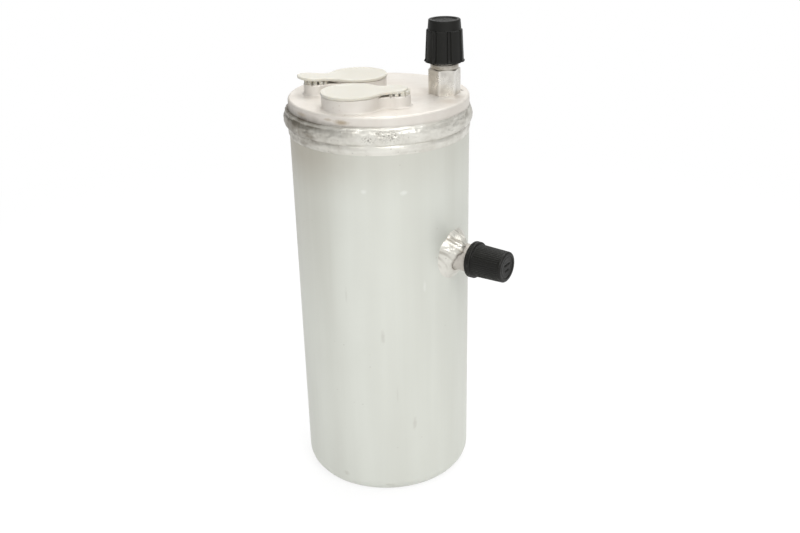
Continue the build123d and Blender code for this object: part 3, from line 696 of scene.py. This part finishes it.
def buildCan():
    size = {"r": 45.0, "wall": 2.5, "floor": 4.0, "corner": 7.5, "turns": 240}
    edge = canTop / mm
    inner = size["r"] - size["wall"]
    profile = roundedProfile((
        (0, 0), (size["r"], 0, size["corner"]), (size["r"], edge), (inner, edge),
        (inner, size["floor"], size["corner"] - size["wall"]), (0, size["floor"]),
    ))
    finishPiece("canShell", spun(profile, size["turns"]), "can", "shell", "can")


buildCan()
print("can done")


def turnedPost(port, points, steps=96):
    tool = spun(roundedProfile(points), steps)
    bmesh.ops.translate(tool, vec=(port.x, port.y, 0), verts=tool.verts)
    return tool


def padBlock(port, bolt, size):
    # flared at the foot, rounded at the top
    edge = size["edgeRound"]
    levels = [(size["flare"], -0.6), (size["flare"], 0.02), (0.55, 0.18), (0.2, 0.5), (0.0, 1.1)]
    for degrees in (0, 22, 45, 68, 90):
        angle = radians(degrees)
        levels.append((-edge * (1 - cos(angle)), size["lobeH"] - edge + edge * sin(angle)))
    pad = peanutStack(levels, size["bossR"], size["lobeR"], boltReach(port, bolt), size["waistR"])
    bmesh.ops.transform(pad, matrix=padMatrix(port, bolt, headTop), verts=pad.verts)
    return pad


def buildHead():
    size = {
        "r": 45.0, "spigot": 42.4, "skirtWall": 5.0, "skirtLow": 193.5, "under": 199.5, "rimRound": 1.2,
        "bossR": 14.2, "bossH": 6.5, "lobeR": 6.5, "lobeH": 5.5, "waistR": 8.0, "edgeRound": 0.7,
        "flare": 1.1, "seatR": 9.0, "seatFloor": 211.0, "pilotR": 7.0, "pilotFloor": 203.0, "passageR": 6.2,
        "boltR": 3.4, "boltFloor": 202.5, "boltMouth": 0.5, "valveHoleR": 6.05, "glandR": 6.9,
        "glandDepth": 1.4, "tubeBossR": 10.0, "tubeBossLow": 190.0, "turns": 240,
    }
    top = headTop / mm
    under, boss, lobe = size["under"], top + size["bossH"], top + size["lobeH"]
    skirtInner = size["spigot"] - size["skirtWall"]
    plate = spun(roundedProfile((
        (0, under), (skirtInner, under), (skirtInner, size["skirtLow"], 0.5),
        (size["spigot"], size["skirtLow"], 0.5), (size["spigot"], under), (size["r"], under),
        (size["r"], top, size["rimRound"]), (0, top),
    )), size["turns"])
    tubeR, tubeLow = size["tubeBossR"], size["tubeBossLow"]
    pilotR, seatR, boltR = size["pilotR"], size["seatR"], size["boltR"]
    adds = [turnedPost(outletAt, ((0, tubeLow), (tubeR, tubeLow, 0.5), (tubeR, top - 3), (0, top - 3)))]
    cuts = []
    for port, bolt in ((inletAt, inletBolt), (outletAt, outletBolt)):
        adds.append(padBlock(port, bolt, size))
        bossR = size["bossR"] - 0.03
        adds.append(turnedPost(port, ((0, top + 2), (bossR, top + 2), (bossR, boss, 0.6), (0, boss)), 160))
        cuts.append(turnedPost(port, (
            (0, under - 12), (size["passageR"], under - 12), (size["passageR"], size["pilotFloor"]),
            (pilotR, size["pilotFloor"]), (pilotR, size["seatFloor"] - 0.4),
            (pilotR + 0.4, size["seatFloor"]), (seatR, size["seatFloor"]), (seatR, boss - 0.5),
            (seatR + 0.5, boss), (seatR + 1.5, boss + 1), (0, boss + 1),
        )))
        cuts.append(turnedPost(bolt, (
            (0, size["boltFloor"] - 0.8), (boltR, size["boltFloor"]), (boltR, lobe - size["boltMouth"]),
            (boltR + size["boltMouth"], lobe), (boltR + 1.5, lobe + 1), (0, lobe + 1),
        ), 64))
    gland = top - size["glandDepth"]
    cuts.append(turnedPost(valveAt, (
        (0, under - 1), (size["valveHoleR"], under - 1), (size["valveHoleR"], gland), (size["glandR"], gland),
        (size["glandR"], top + 1), (0, top + 1),
    ), 64))
    bm = joined(joined(plate, *adds, operation="UNION"), *cuts)
    finishPiece("headBlock", bm, "head", "shell", "end_cap", 28, flatAbove=0.9995)


buildHead()
print("head done")


def seamWeldHeight(size, z):
    # how far the weld's face stands off its seat: a low toe, then the main bead
    if z < size["crease"]:
        share = (z - size["low"]) / (size["crease"] - size["low"])
        return size["creaseProud"] * share + size["toeBelly"] * sin(pi * share) ** 1.4
    share = (z - size["crease"]) / (size["high"] - size["crease"])
    return size["creaseProud"] * (1 - share) + size["belly"] * sin(pi * share) ** 0.55


def rising(value, width):
    # from 0 to 1 as the value passes 0
    return 1 / (1 + exp(-value / width))


def buildSeamWeld():
    size = {
        "low": 190.6, "crease": 195.3, "high": 203.9, "inner": 42.4, "seat": 45.02, "rootLow": 197.5,
        "rootHigh": 199.5, "creaseProud": 0.7, "toeBelly": 0.5, "belly": 1.25, "offCentre": 0.5, "rows": 46,
        "turns": 720, "ripples": 150, "rippleHeight": 0.05, "slowHeight": 0.16, "lumpHeight": 0.24,
        "pitDepth": 0.55, "lipHeight": 0.25, "underLipDepth": 0.3, "creaseDepth": 0.22, "toeLost": 0.93,
    }
    bottom, crease, top, seat = size["low"], size["crease"], size["high"], size["seat"]
    # (angle, z, degrees wide, mm high, height)
    lumps = (
        (-67, 200.8, 4.5, 2.0, 0.42), (-72, 198.4, 3.0, 1.6, 0.30), (-104, 199.2, 6.0, 2.2, 0.32),
        (-97, 198.0, 3.0, 1.3, 0.28), (-53, 203.0, 2.0, 0.6, 0.25), (-61, 202.4, 3.0, 0.9, 0.22),
        (-176, 199.6, 9.0, 3.0, 0.40), (-12, 200.0, 12.0, 3.4, 0.35), (64, 199.6, 8.0, 2.4, 0.35),
        (128, 199.4, 10.0, 3.0, 0.35), (-103, 192.8, 8.0, 1.3, 0.30), (-75, 192.6, 9.0, 1.3, 0.30),
        (-50, 193.0, 10.0, 1.4, 0.15),
    )
    pitted = ((-84, 200.0, 6.0, 2.4), (-96, 198.6, 3.5, 1.6), (-89, 201.6, 4.0, 1.0))
    profile = [(size["inner"], size["rootLow"]), (seat, size["rootLow"]), (seat, bottom)]
    for row in range(size["rows"] + 1):
        z = bottom + (top - bottom) * row / size["rows"]
        profile.append((seat + 0.04 + seamWeldHeight(size, z), z))
    profile += [(seat, top), (seat, size["rootHigh"]), (size["inner"], size["rootHigh"])]
    bm = spun(profile, size["turns"])
    paintedShade = bm.verts.layers.float.new("paintedShade")
    tintAndShade = bm.verts.layers.float.new("tintAndShade")
    for vert in bm.verts:
        x, y, z, r, angle = polar(vert)
        if r < seat + 0.02:
            continue
        body = max(0.0, min(1.0, z - bottom, (top - z) / 0.6))
        onBead = rising(z - crease, 0.3)
        where = onCircle(angle, 9, z * 0.35)
        slow = noise.noise(onCircle(angle, 3.1, 2.0))
        wander = noise.noise(onCircle(angle, 6.0, 5.0))
        left = min(1.0, 1.6 * turnedHump(angle, -175, 50))
        # the toe runs out on the left
        toe = onBead + (1 - onBead) * (1 - size["toeLost"] * turnedHump(angle, -165, 38))
        phase = angle * size["ripples"] + 0.15 * (z - 199.6) ** 2 + 3.0 * wander
        grow = size["slowHeight"] * noise.noise(where * 0.6)
        grow += size["lumpHeight"] * noise.noise(where * 1.9) * onBead
        grow += size["rippleHeight"] * (abs(sin(phase / 2)) - 0.6) * onBead
        for at, lumpZ, wide, high, height in lumps:
            grow += height * turnedHump(angle, at, wide) * hump(z, lumpZ, high)
        pits = 0.0
        for at, pitZ, wide, high in pitted:
            window = turnedHump(angle, at, wide) * hump(z, pitZ, high)
            rough = noise.noise(Vector((angle * 60, z * 1.35, 3.0)))
            rough += 0.6 * noise.noise(Vector((angle * 130, z * 2.9, 8.0)))
            pits = max(pits, window * min(1.0, max(0.0, rough * 2.4 + 0.05)))
        groove = hump(z, crease + 0.15 + 0.3 * wander, 0.5)
        lip = hump(z, top - 0.8, 0.4) * (0.45 + 0.55 * left)
        underLip = hump(z, top - 1.9, 0.7) * (0.2 + 0.8 * left)
        grow += size["lipHeight"] * lip - size["underLipDepth"] * underLip
        grow -= size["creaseDepth"] * groove + size["pitDepth"] * pits
        newR = seat + max(0.03, (r - seat + grow * body) * toe)
        vert.co.x = (newR * cos(angle) - size["offCentre"] * body) * mm
        vert.co.y = newR * sin(angle) * mm
        vert.co.z = (z + (0.30 * slow + 0.35 * wander) * (0.4 + 0.6 * onBead)) * mm
        # painted shade: the gap at the bead's top, the pits and the crease above the toe are darkened, most
        # on the left
        topGap = 0.7 * rising(z - top + 0.35, 0.12) * (0.1 + 0.9 * left)
        vert[paintedShade] = min(1.0, topGap + 0.8 * pits + 0.15 * groove * (0.4 + 0.6 * left))
        # burnt brown on the left, clean where it was dressed at the front, dull again on the right; below the
        # lip on the left it is darkened as painted shade, and the lip itself is kept lighter as a painted
        # highlight
        burnt = min(1.1, 2.0 * turnedHump(angle, -175, 45)) + 0.48 * turnedHump(angle, -15, 36)
        uneven = 0.95 + 0.45 * noise.noise(where * 0.8) + 0.35 * noise.noise(where * 2.2)
        tintAndLipShade = burnt * uneven * (0.7 + 0.3 * onBead) + 0.45 * underLip * left
        vert[tintAndShade] = min(1.0, max(0.0, tintAndLipShade * (1 - 0.45 * lip)))
    finishPiece("seamWeldBead", bm, "weld", "shell", "seam_weld", smoothAngle=60)


buildSeamWeld()
print("seam weld done")


def tabLift(size, x):
    # the tab curls up past the hinge and then runs straight
    past = x - size["hinge"]
    if past <= 0:
        return 0.0
    slope = tan(radians(size["bend"]))
    curl = size["curl"]
    return slope * past**2 / (2 * curl) if past < curl else slope * (past - curl / 2)


def buildCover(name, node, body, port, bolt, tab):
    size = {
        "r": 14.6, "waistR": 9.0, "thick": 1.5, "edge": 0.45, "plugR": 8.95, "plugWall": 1.2,
        "plugDepth": 4.0, "hinge": 11.7, "curl": 4.0, "rim": 1.2, "dish": 0.14, "feet": 13, "footR": 5.3,
        "footSize": 1.7, "footGap": 0.95, **tab,
    }
    edge, thick, deep = size["edge"], size["thick"], -size["plugDepth"]
    corner = [(edge * (cos(radians(turn)) - 1), edge * (1 - sin(radians(turn)))) for turn in (0, 30, 60, 90)]
    levels = corner[::-1] + [(grow, thick - z) for grow, z in corner]
    levels += [(-edge - size["rim"], thick), (-edge - size["rim"] - 0.5, thick - size["dish"])]
    bm = peanutStack(levels, size["r"], size["tabR"], size["reach"], size["waistR"], steps=48)
    plugR, inner = size["plugR"], size["plugR"] - size["plugWall"]
    plug = spun(roundedProfile(((inner, 0.3), (inner, deep, 0.3), (plugR, deep, 0.3), (plugR, 0.3))), 96)
    feet = bmesh.new()
    for foot in range(size["feet"]):
        angle = 2 * pi * (foot + 0.5) / size["feet"]
        x = boltReach(port, bolt) + size["footR"] * cos(angle)
        depth = size["footGap"] + tabLift(size, x)
        if x < size["hinge"] - 0.5:
            continue
        place = Matrix.Translation((x * mm, size["footR"] * sin(angle) * mm, (0.4 - depth) / 2 * mm))
        shape = Matrix.Diagonal((size["footSize"] * mm, size["footSize"] * mm, (0.4 + depth) * mm, 1))
        bmesh.ops.create_cube(feet, size=1.0, matrix=place @ Matrix.Rotation(angle, 4, "Z") @ shape)
    bm = joined(bm, plug, feet, operation="UNION")
    for step in range(6):
        cut = size["hinge"] + size["curl"] * step / 5
        bmesh.ops.bisect_plane(
            bm, geom=bm.verts[:] + bm.edges[:] + bm.faces[:], dist=mergeGap, plane_co=(cut * mm, 0, 0),
            plane_no=(1, 0, 0),
        )
    for vert in bm.verts:
        vert.co.z += tabLift(size, vert.co.x / mm) * mm
    seat = padMatrix(port, bolt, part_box("end_cap")[1].z)
    finishPiece(name, bm, "cover", body, node, 35, seat, flatAbove=0.985)


inletTab = {"tabR": 6.2, "reach": 20.4, "bend": 2.0}
outletTab = {"tabR": 7.4, "reach": 23.6, "bend": 6.0}
buildCover("inletCover", "inlet_transit_cover", "inlet_cover", inletAt, inletBolt, inletTab)
buildCover("outletCover", "outlet_transit_cover", "outlet_cover", outletAt, outletBolt, outletTab)
print("transit covers done")


def cutThread(bm, size):
    # a rounded vee thread that fades at both ends
    for vert in bm.verts:
        x, y, z, r, angle = polar(vert)
        if not size["threadLow"] <= z <= size["threadHigh"] or r < size["threadR"] - 0.3:
            continue
        turns = (z - size["threadLow"]) / size["pitch"]
        left = (size["threadHigh"] - z) / size["pitch"]
        depth = size["threadDepth"] * min(1.0, turns, left)
        setRadius(vert, size["threadR"] - depth * (0.5 + 0.5 * cos(2 * pi * turns - angle)), angle)


def buildServiceValve():
    size = {
        "flats": 14.0, "turn": 5.0, "hexH": 12.4, "chamferR": 7.0, "slope": 18.0, "edgeRound": 0.3,
        "coreR": 5.9,
        "stubR": 6.0, "glandR": 5.2, "glandDepth": 1.42, "collarR": 6.9, "collarH": 2.4, "neckR": 6.4,
        "neckHigh": 20.0, "grooveR": 5.4, "grooveHigh": 23.0, "height": 30.2, "boreR": 2.6,
        "threadR": 6.4, "threadLow": 23.4, "threadHigh": 29.6, "pitch": 1.0, "threadDepth": 0.5,
    }
    cornerR, hexH, chamferR = size["flats"] / sqrt(3), size["hexH"], size["chamferR"]
    bm = bmesh.new()
    turned = Matrix.Rotation(radians(size["turn"] + 30), 4, "Z")
    bmesh.ops.create_cone(
        bm, cap_ends=True, segments=6, radius1=cornerR * mm, radius2=cornerR * mm, depth=hexH * mm,
        matrix=Matrix.Translation((0, 0, hexH / 2 * mm)) @ turned,
    )
    upright = [edge for edge in bm.edges if abs(edge.verts[0].co.z - edge.verts[1].co.z) > 1 * mm]
    bmesh.ops.bevel(
        bm, geom=upright, offset=size["edgeRound"] * mm, segments=3, profile=0.5, affect="EDGES", material=-1,
    )
    fall = (cornerR - chamferR) * tan(radians(size["slope"]))
    blankR = cornerR + 0.3
    chamfered = spun((
        (0, 0), (chamferR + 0.3, 0), (blankR, 0.5 * fall), (blankR, hexH - fall - 0.19), (chamferR, hexH),
        (0, hexH),
    ), 96)
    bm = joined(bm, chamfered, operation="INTERSECT")
    finishPiece("serviceValveHex", bm, "steel", "shell", "service_valve_body", 25, valveSeat)
    stub, gland, collarTop = -stubLength / mm, -size["glandDepth"], hexH + size["collarH"]
    boreR, stubR, neckR, grooveR = size["boreR"], size["stubR"], size["neckR"], size["grooveR"]
    neck = roundedProfile((
        (boreR, stub), (stubR - 0.6, stub), (stubR, stub + 0.6), (stubR, gland), (size["glandR"], gland),
        (size["glandR"], 0.5), (size["coreR"], 0.5), (size["coreR"], hexH - 0.4), (6.6, hexH - 0.1, 0.1),
        (size["collarR"], hexH + 0.15, 0.15), (size["collarR"], collarTop, 0.5), (neckR, collarTop + 0.1),
        (neckR, size["neckHigh"], 0.2), (grooveR, size["neckHigh"] + 0.6, 0.3),
        (grooveR, size["grooveHigh"] - 0.5, 0.3), (neckR, size["grooveHigh"], 0.2),
    ))
    neck += subdivided([(size["threadR"], size["threadLow"]), (size["threadR"], size["threadHigh"])], 0.12)
    height = size["height"]
    neck += [(neckR - 0.6, height), (boreR + 0.6, height), (boreR, height - 0.6)]
    bm = spun(neck, 96)
    cutThread(bm, size)
    finishPiece("serviceValveNeck", bm, "steel", "shell", "service_valve_body", 32, valveSeat)


buildServiceValve()
print("service valve done")


def buildServiceCap():
    size = {
        "low": 15.8, "top": 35.9, "shoulder": 30.9, "lipR": 9.9, "lipH": 0.7, "footR": 9.45,
        "shoulderR": 8.75, "collarFootR": 8.15, "collarR": 7.75, "ribs": 8, "ribTurn": 10.5,
        "grooveDepth": 0.9, "grooveHalf": 0.125, "edgeBead": 0.05, "spokeHeight": 0.4, "hubHeight": 0.3,
        "dishR": 6.2, "dishDepth": 0.7, "boreR": 6.45, "wall": 3.9, "turns": 384,
    }
    low, top, shoulder = size["low"], size["top"], size["shoulder"]
    boreR, dishR, dish = size["boreR"], size["dishR"], top - size["dishDepth"]
    body = roundedProfile((
        (0, top - size["wall"]), (boreR, top - size["wall"]), (boreR, low), (size["lipR"], low, 0.2),
        (size["lipR"], low + 0.4, 0.15), (size["footR"], low + size["lipH"] + 0.1, 0.2),
        (size["shoulderR"], shoulder, 0.4), (size["collarFootR"], shoulder + 0.25, 0.2),
        (size["collarR"], top, 0.5), (dishR + 0.15, top, 0.2), (dishR - 0.45, dish, 0.25), (0, dish),
    ))
    bm = spun(subdivided(body, 0.8), size["turns"])
    step = 2 * pi / size["ribs"]
    start = radians(-90 + size["ribTurn"])
    for vert in bm.verts:
        x, y, z, r, angle = polar(vert)
        if r > boreR + 0.3 and z < shoulder + 0.1:
            gap = ((angle - start + step / 2) % step) - step / 2
            inside = max(0.0, 1 - (gap / size["grooveHalf"]) ** 2) ** 0.5
            edge = hump(abs(gap), size["grooveHalf"], 0.035)
            fromBore = min(1.0, max(0.35, (r - boreR - 0.5) / 0.8))
            keep = 1.0 if z > low + 1.0 else 0.55
            r -= size["grooveDepth"] * inside * keep * fromBore - size["edgeBead"] * edge
            setRadius(vert, r, angle)
        if z > dish - 0.01 and r < dishR - 0.8:
            spokes = max(0.0, cos(angle * 4 + 0.4)) ** 6 * hump(r, 3.2, 1.3)
            vert.co.z += (size["spokeHeight"] * spokes + size["hubHeight"] * hump(r, 1.5, 0.35)) * mm
    finishPiece("serviceCap", bm, "black", "service_cap_body", "service_cap", 40, valveSeat)


buildServiceCap()
print("service cap done")


def buildSwitchWeld():
    size = {
        "inner": 7.02, "outer": 13.2, "rings": 46, "turns": 320, "seat": 45.0, "rise": 6.4, "riseAt": 122.0,
        "riseWide": 62.0, "low": 2.1, "crevice": 0.35, "facet": 1.0, "shortAt": -82.0, "short": 0.26,
    }
    # drawn flat, then wrapped on the can and raised round the fitting
    width = size["outer"] - size["inner"]
    profile = [(size["inner"] + width * ring / size["rings"], 1.0) for ring in range(size["rings"] + 1)]
    profile += [(size["outer"], 0.0), (size["inner"], 0.0)]
    bm = spun(profile, size["turns"])
    paintedShade = bm.verts.layers.float.new("paintedShade")
    tintAndShade = bm.verts.layers.float.new("tintAndShade")
    for vert in bm.verts:
        x, y, flag, r, angle = polar(vert)
        share = max(0.0, min(1.0, (r - size["inner"]) / width))
        steep = turnedHump(angle, size["riseAt"], size["riseWide"])
        reach = 1.0 + 0.12 * noise.noise(onCircle(angle, 2.2, 3.0)) + 0.08 * turnedHump(angle, 90, 30)
        reach -= size["short"] * turnedHump(angle, size["shortAt"], 60)
        wide = size["inner"] + (r - size["inner"]) * reach
        u, v = wide * cos(angle), wide * sin(angle)
        wall = sqrt(size["seat"] ** 2 - u**2)
        if flag < 0.5:
            vert.co = Vector((u, v, wall - 0.05)) * mm
            continue
        tall = size["low"] + size["rise"] * steep
        fromSpigot = min(1.0, share / 0.13)
        foot = size["crevice"] + 0.6 * (1 - steep) * (1 - size["crevice"])
        crown = foot + (1 - foot) * fromSpigot**0.6
        crown *= max(0.0, 1 - share) ** 1.05 * (1 + 0.35 * sin(pi * share))
        cells = noise.voronoi(Vector((u * 0.30, v * 0.30, 1.7)))[0]
        middle = sin(pi * min(1.0, share + 0.1)) ** 0.8
        facets = (cells[1] - cells[0] - 0.35) * size["facet"] * (0.25 + 1.3 * steep)
        lumps = noise.noise(Vector((u * 0.5, v * 0.5, 4.1))) * (0.25 + 0.7 * steep)
        ripple = 0.10 * sin(angle * 26 + share * 5) * (0.4 + steep)
        depth = wall + 0.03 + max(0.0, tall * crown + (facets + lumps + ripple) * middle)
        vert.co = Vector((u, v, depth)) * mm
        # painted shade in the crevice at the spigot, strongest on the side toward 150 degrees
        crevice = hump(share, 0.02, 0.10)
        seen = 0.05 + 0.95 * turnedHump(angle, 150, 36)
        vert[paintedShade] = min(1.0, crevice * seen)
        streak = max(0.0, noise.noise(Vector((u * 0.75 + v * 0.4, v * 0.25, 6.3)))) * (0.1 + 1.1 * steep)
        vert[tintAndShade] = min(1.0, 0.6 * hump(share, 0.16, 0.1) * seen + 0.22 + streak)
    finishPiece("switchPortWeld", bm, "weld", "shell", "switch_port_weld", 60, switchSeat)


def buildSwitchFitting():
    size = {
        "bodyR": 7.0, "bodyEnd": 54.5, "root": 43.6, "stubR": 5.0, "stubLow": 42.0, "undercutR": 4.9,
        "undercut": 1.4, "threadR": 5.5, "threadLow": 56.0, "threadHigh": 69.4, "end": 70.0, "boreR": 2.6,
        "pitch": 1.25, "threadDepth": 0.55,
    }
    bodyEnd, end, boreR = size["bodyEnd"], size["end"], size["boreR"]
    profile = roundedProfile((
        (boreR, size["stubLow"]), (size["stubR"], size["stubLow"]), (size["stubR"], size["root"]),
        (size["bodyR"], size["root"]), (size["bodyR"], bodyEnd, 0.35), (size["undercutR"], bodyEnd, 0.1),
        (size["undercutR"], bodyEnd + size["undercut"]),
    ))
    profile += subdivided([(size["threadR"], size["threadLow"]), (size["threadR"], size["threadHigh"])], 0.14)
    profile += [(size["undercutR"], end), (boreR + 0.6, end), (boreR, end - 0.6)]
    bm = spun(profile, 96)
    cutThread(bm, size)
    finishPiece(
        "switchPortSpigot", bm, "head", "shell", "switch_port_fitting", 32, switchSeat,
    )


def buildSwitchCap():
    size = {
        "start": 55.5, "end": 75.0, "flangeR": 9.2, "flangeW": 3.0, "bodyR": 8.2, "tipR": 7.75,
        "tipRound": 1.0, "dishR": 5.6, "dishDepth": 0.4, "boreR": 5.55, "wall": 3.5, "knurls": 48,
        "knurlDepth": 0.14, "dashDepth": 0.55, "ringHeight": 0.2, "turns": 384,
    }
    # (x, y, half length, half width) of the sunk dashes on the end
    dashes = ((0.4, 1.25, 2.3, 0.42), (0.3, -1.75, 1.5, 0.42))
    start, end, flangeR, boreR, dishR = (size[key] for key in ("start", "end", "flangeR", "boreR", "dishR"))
    flangeEnd, dish = start + size["flangeW"], end - size["dishDepth"]
    body = roundedProfile((
        (0, end - size["wall"]), (boreR, end - size["wall"]), (boreR, start), (flangeR, start, 0.5),
        (flangeR, start + 1.2, 0.15), (flangeR - 0.25, start + 1.4, 0.1), (flangeR - 0.25, start + 1.6, 0.1),
        (flangeR, start + 1.8, 0.15), (flangeR, flangeEnd, 0.5), (size["bodyR"], flangeEnd + 0.15, 0.25),
        (size["tipR"], end, size["tipRound"]), (dishR + 0.35, end, 0.15), (dishR, dish, 0.15), (0, dish),
    ))
    bm = spun(subdivided(body, 0.4), size["turns"])
    for vert in bm.verts:
        x, y, z, r, angle = polar(vert)
        if r > size["tipR"] - 0.4 and flangeEnd + 0.3 < z < end - 0.9:
            fade = min(1.0, (z - flangeEnd - 0.3) / 0.5, (end - 0.9 - z) / 0.5)
            r -= size["knurlDepth"] * (0.5 - 0.5 * cos(angle * size["knurls"])) * fade
            setRadius(vert, r, angle)
        if z > dish - 0.01 and r < dishR - 0.4:
            sunk = 0.0
            for dashX, dashY, halfLength, halfWidth in dashes:
                past = max(0.0, abs(x - dashX) - halfLength)
                sunk = max(sunk, hump(y, dashY, halfWidth) * hump(past, 0, 0.3))
            vert.co.z -= (size["dashDepth"] * sunk - size["ringHeight"] * hump(r, 4.6, 0.3)) * mm
    finishPiece(
        "switchPortCap", bm, "black", "switch_cap_body", "switch_port_cap", 40, switchSeat,
    )


buildSwitchWeld()
buildSwitchFitting()
buildSwitchCap()
print("switch port done")

innerFinish = {
    "pickup_tube": "tube", "strainer": "strainer", "lower_plate": "pressed", "upper_plate": "pressed",
    "lower_pad": "felt", "upper_pad": "felt", "desiccant_bed": "beads", "hold_down_spring": "wire",
    "service_core_body": "brass", "service_core_pin": "brass", "switch_core_body": "brass",
    "switch_core_pin": "brass", "service_core_spring": "wire", "switch_core_spring": "wire",
}
for nodeName, node in frame["nodes"].items():
    finish = finishes[innerFinish.get(nodeName, "rubber")]
    for slotItem in node.material_slots:
        slotItem.material = finish
    if not node.material_slots:
        node.data.materials.append(finish)
print("inner pieces finished")


white = (1, 1, 1, 1)


def seenDirectly(tree, glossyShare=1.0):
    # 1 for rays that show the backdrop itself: camera, glass and, by their share, metal
    rays = newNode(tree, "LightPath").outputs
    through = mathNode(tree, "MAXIMUM", rays["Is Camera Ray"], rays["Is Transmission Ray"])
    glossy = product(tree, rays["Is Glossy Ray"], glossyShare)
    return mathNode(tree, "MAXIMUM", through, glossy), rays["Is Camera Ray"]


def mixShaders(tree, factor, first, second, output):
    mix = newNode(tree, "MixShader")
    for index, source in enumerate((factor, first.outputs[0], second.outputs[0])):
        tree.links.new(source, mix.inputs[index])
    tree.links.new(mix.outputs[0], tree.nodes[output].inputs["Surface"])


def buildStage():
    # the floor takes shadows near the drier and runs out to plain white
    size = {
        "half": 3.0, "shadowShare": 0.24, "lift": 0.22, "fadeFrom": 0.16, "fadeTo": 0.6,
        "shader": {
            "Base Color": (0.86, 0.86, 0.86, 1), "Roughness": 0.9, "Specular IOR Level": 0.0,
            "Emission Color": white,
        },
    }
    bm = bmesh.new()
    bmesh.ops.create_grid(bm, x_segments=1, y_segments=1, size=size["half"])
    floor = meshObject("paleFloor", bm)
    material, tree, place = newMaterial("paleFloor", size["shader"])
    shader = tree.nodes["Principled BSDF"]
    direct, toCamera = seenDirectly(tree)
    tree.links.new(product(tree, toCamera, size["lift"]), shader.inputs["Emission Strength"])
    away = vectorNode(tree, "LENGTH", place, (0, 0, 0))
    share = rangeNode(tree, away, size["fadeFrom"], size["fadeTo"], 1 - size["shadowShare"], 1.0, True)
    glow = newNode(tree, "Emission", Color=white)
    mixShaders(tree, product(tree, direct, share), shader, glow, "Material Output")
    floor.data.materials.append(material)


def buildWorld():
    # the room behind the camera is dimmer at the sides, most on the left; the backdrop is white
    light = {
        "left": (0.19, 0.19, 0.185, 1), "middle": (0.94, 0.94, 0.93, 1), "right": (0.42, 0.42, 0.415, 1),
        "strength": 0.85, "backdropFrom": 0.85, "backdropTo": 1.0,
    }
    world = bpy.data.worlds.new("studio")
    bpy.context.scene.world = world
    world.use_nodes = True
    tree = world.node_tree
    background = tree.nodes["Background"]
    direction = separated(tree, newNode(tree, "TexCoord").outputs["Generated"])
    toMiddle = rangeNode(tree, direction[0], -0.9, 0.1, smooth=True)
    toRight = rangeNode(tree, direction[0], 0.4, 1.0, smooth=True)
    colour = mixColor(tree, toMiddle, light["left"], light["middle"])
    colour = mixColor(tree, toRight, colour, light["right"])
    tree.links.new(colour, background.inputs["Color"])
    background.inputs["Strength"].default_value = light["strength"]
    backdrop = newNode(tree, "Background", Color=white)
    behind = rangeNode(tree, direction[1], light["backdropFrom"], light["backdropTo"], smooth=True)
    mixShaders(tree, seenDirectly(tree, behind)[0], background, backdrop, "World Output")


def addLamp(name, place, aim, size, power):
    data = bpy.data.lights.new(name, "AREA")
    data.shape = "RECTANGLE"
    data.size, data.size_y = size
    data.energy = power
    lamp = addObject(name, data)
    lamp.location = place
    lamp.rotation_euler = (Vector(aim) - Vector(place)).to_track_quat("-Z", "Y").to_euler()


def buildCamera():
    view = {
        "place": (0, -0.474, 0.3272), "turn": 1.055, "down": 24.18, "roll": -1.255, "lens": 43.65,
        "sensor": 36.0, "nearest": 0.01,
    }
    data = bpy.data.cameras.new("productCamera")
    data.lens = view["lens"]
    data.sensor_width = view["sensor"]
    data.clip_start = view["nearest"]
    camera = addObject("productCamera", data)
    turn, down, roll = (radians(view[key]) for key in ("turn", "down", "roll"))
    forward = Vector((sin(turn) * cos(down), cos(turn) * cos(down), -sin(down)))
    right = forward.cross(up).normalized()
    upward = right.cross(forward)
    rolledRight = right * cos(roll) + upward * sin(roll)
    rolledUp = upward * cos(roll) - right * sin(roll)
    axes = Matrix((rolledRight, rolledUp, -forward)).transposed().to_4x4()
    camera.matrix_world = Matrix.Translation(view["place"]) @ axes
    bpy.context.scene.camera = camera


buildStage()
buildWorld()
addLamp("rightLamp", (0.42, -0.92, 1.05), (0, 0, 0.12), (0.45, 0.7), 6.0)
addLamp("leftLamp", (-0.55, -0.85, 1.0), (0, 0, 0.12), (0.3, 0.6), 3.6)
addLamp("topLamp", (0.1, 0.35, 1.2), (0, 0, 0.2), (0.9, 0.7), 6.0)
buildCamera()
bpy.context.scene.view_settings.view_transform = "Standard"
print("stage done")
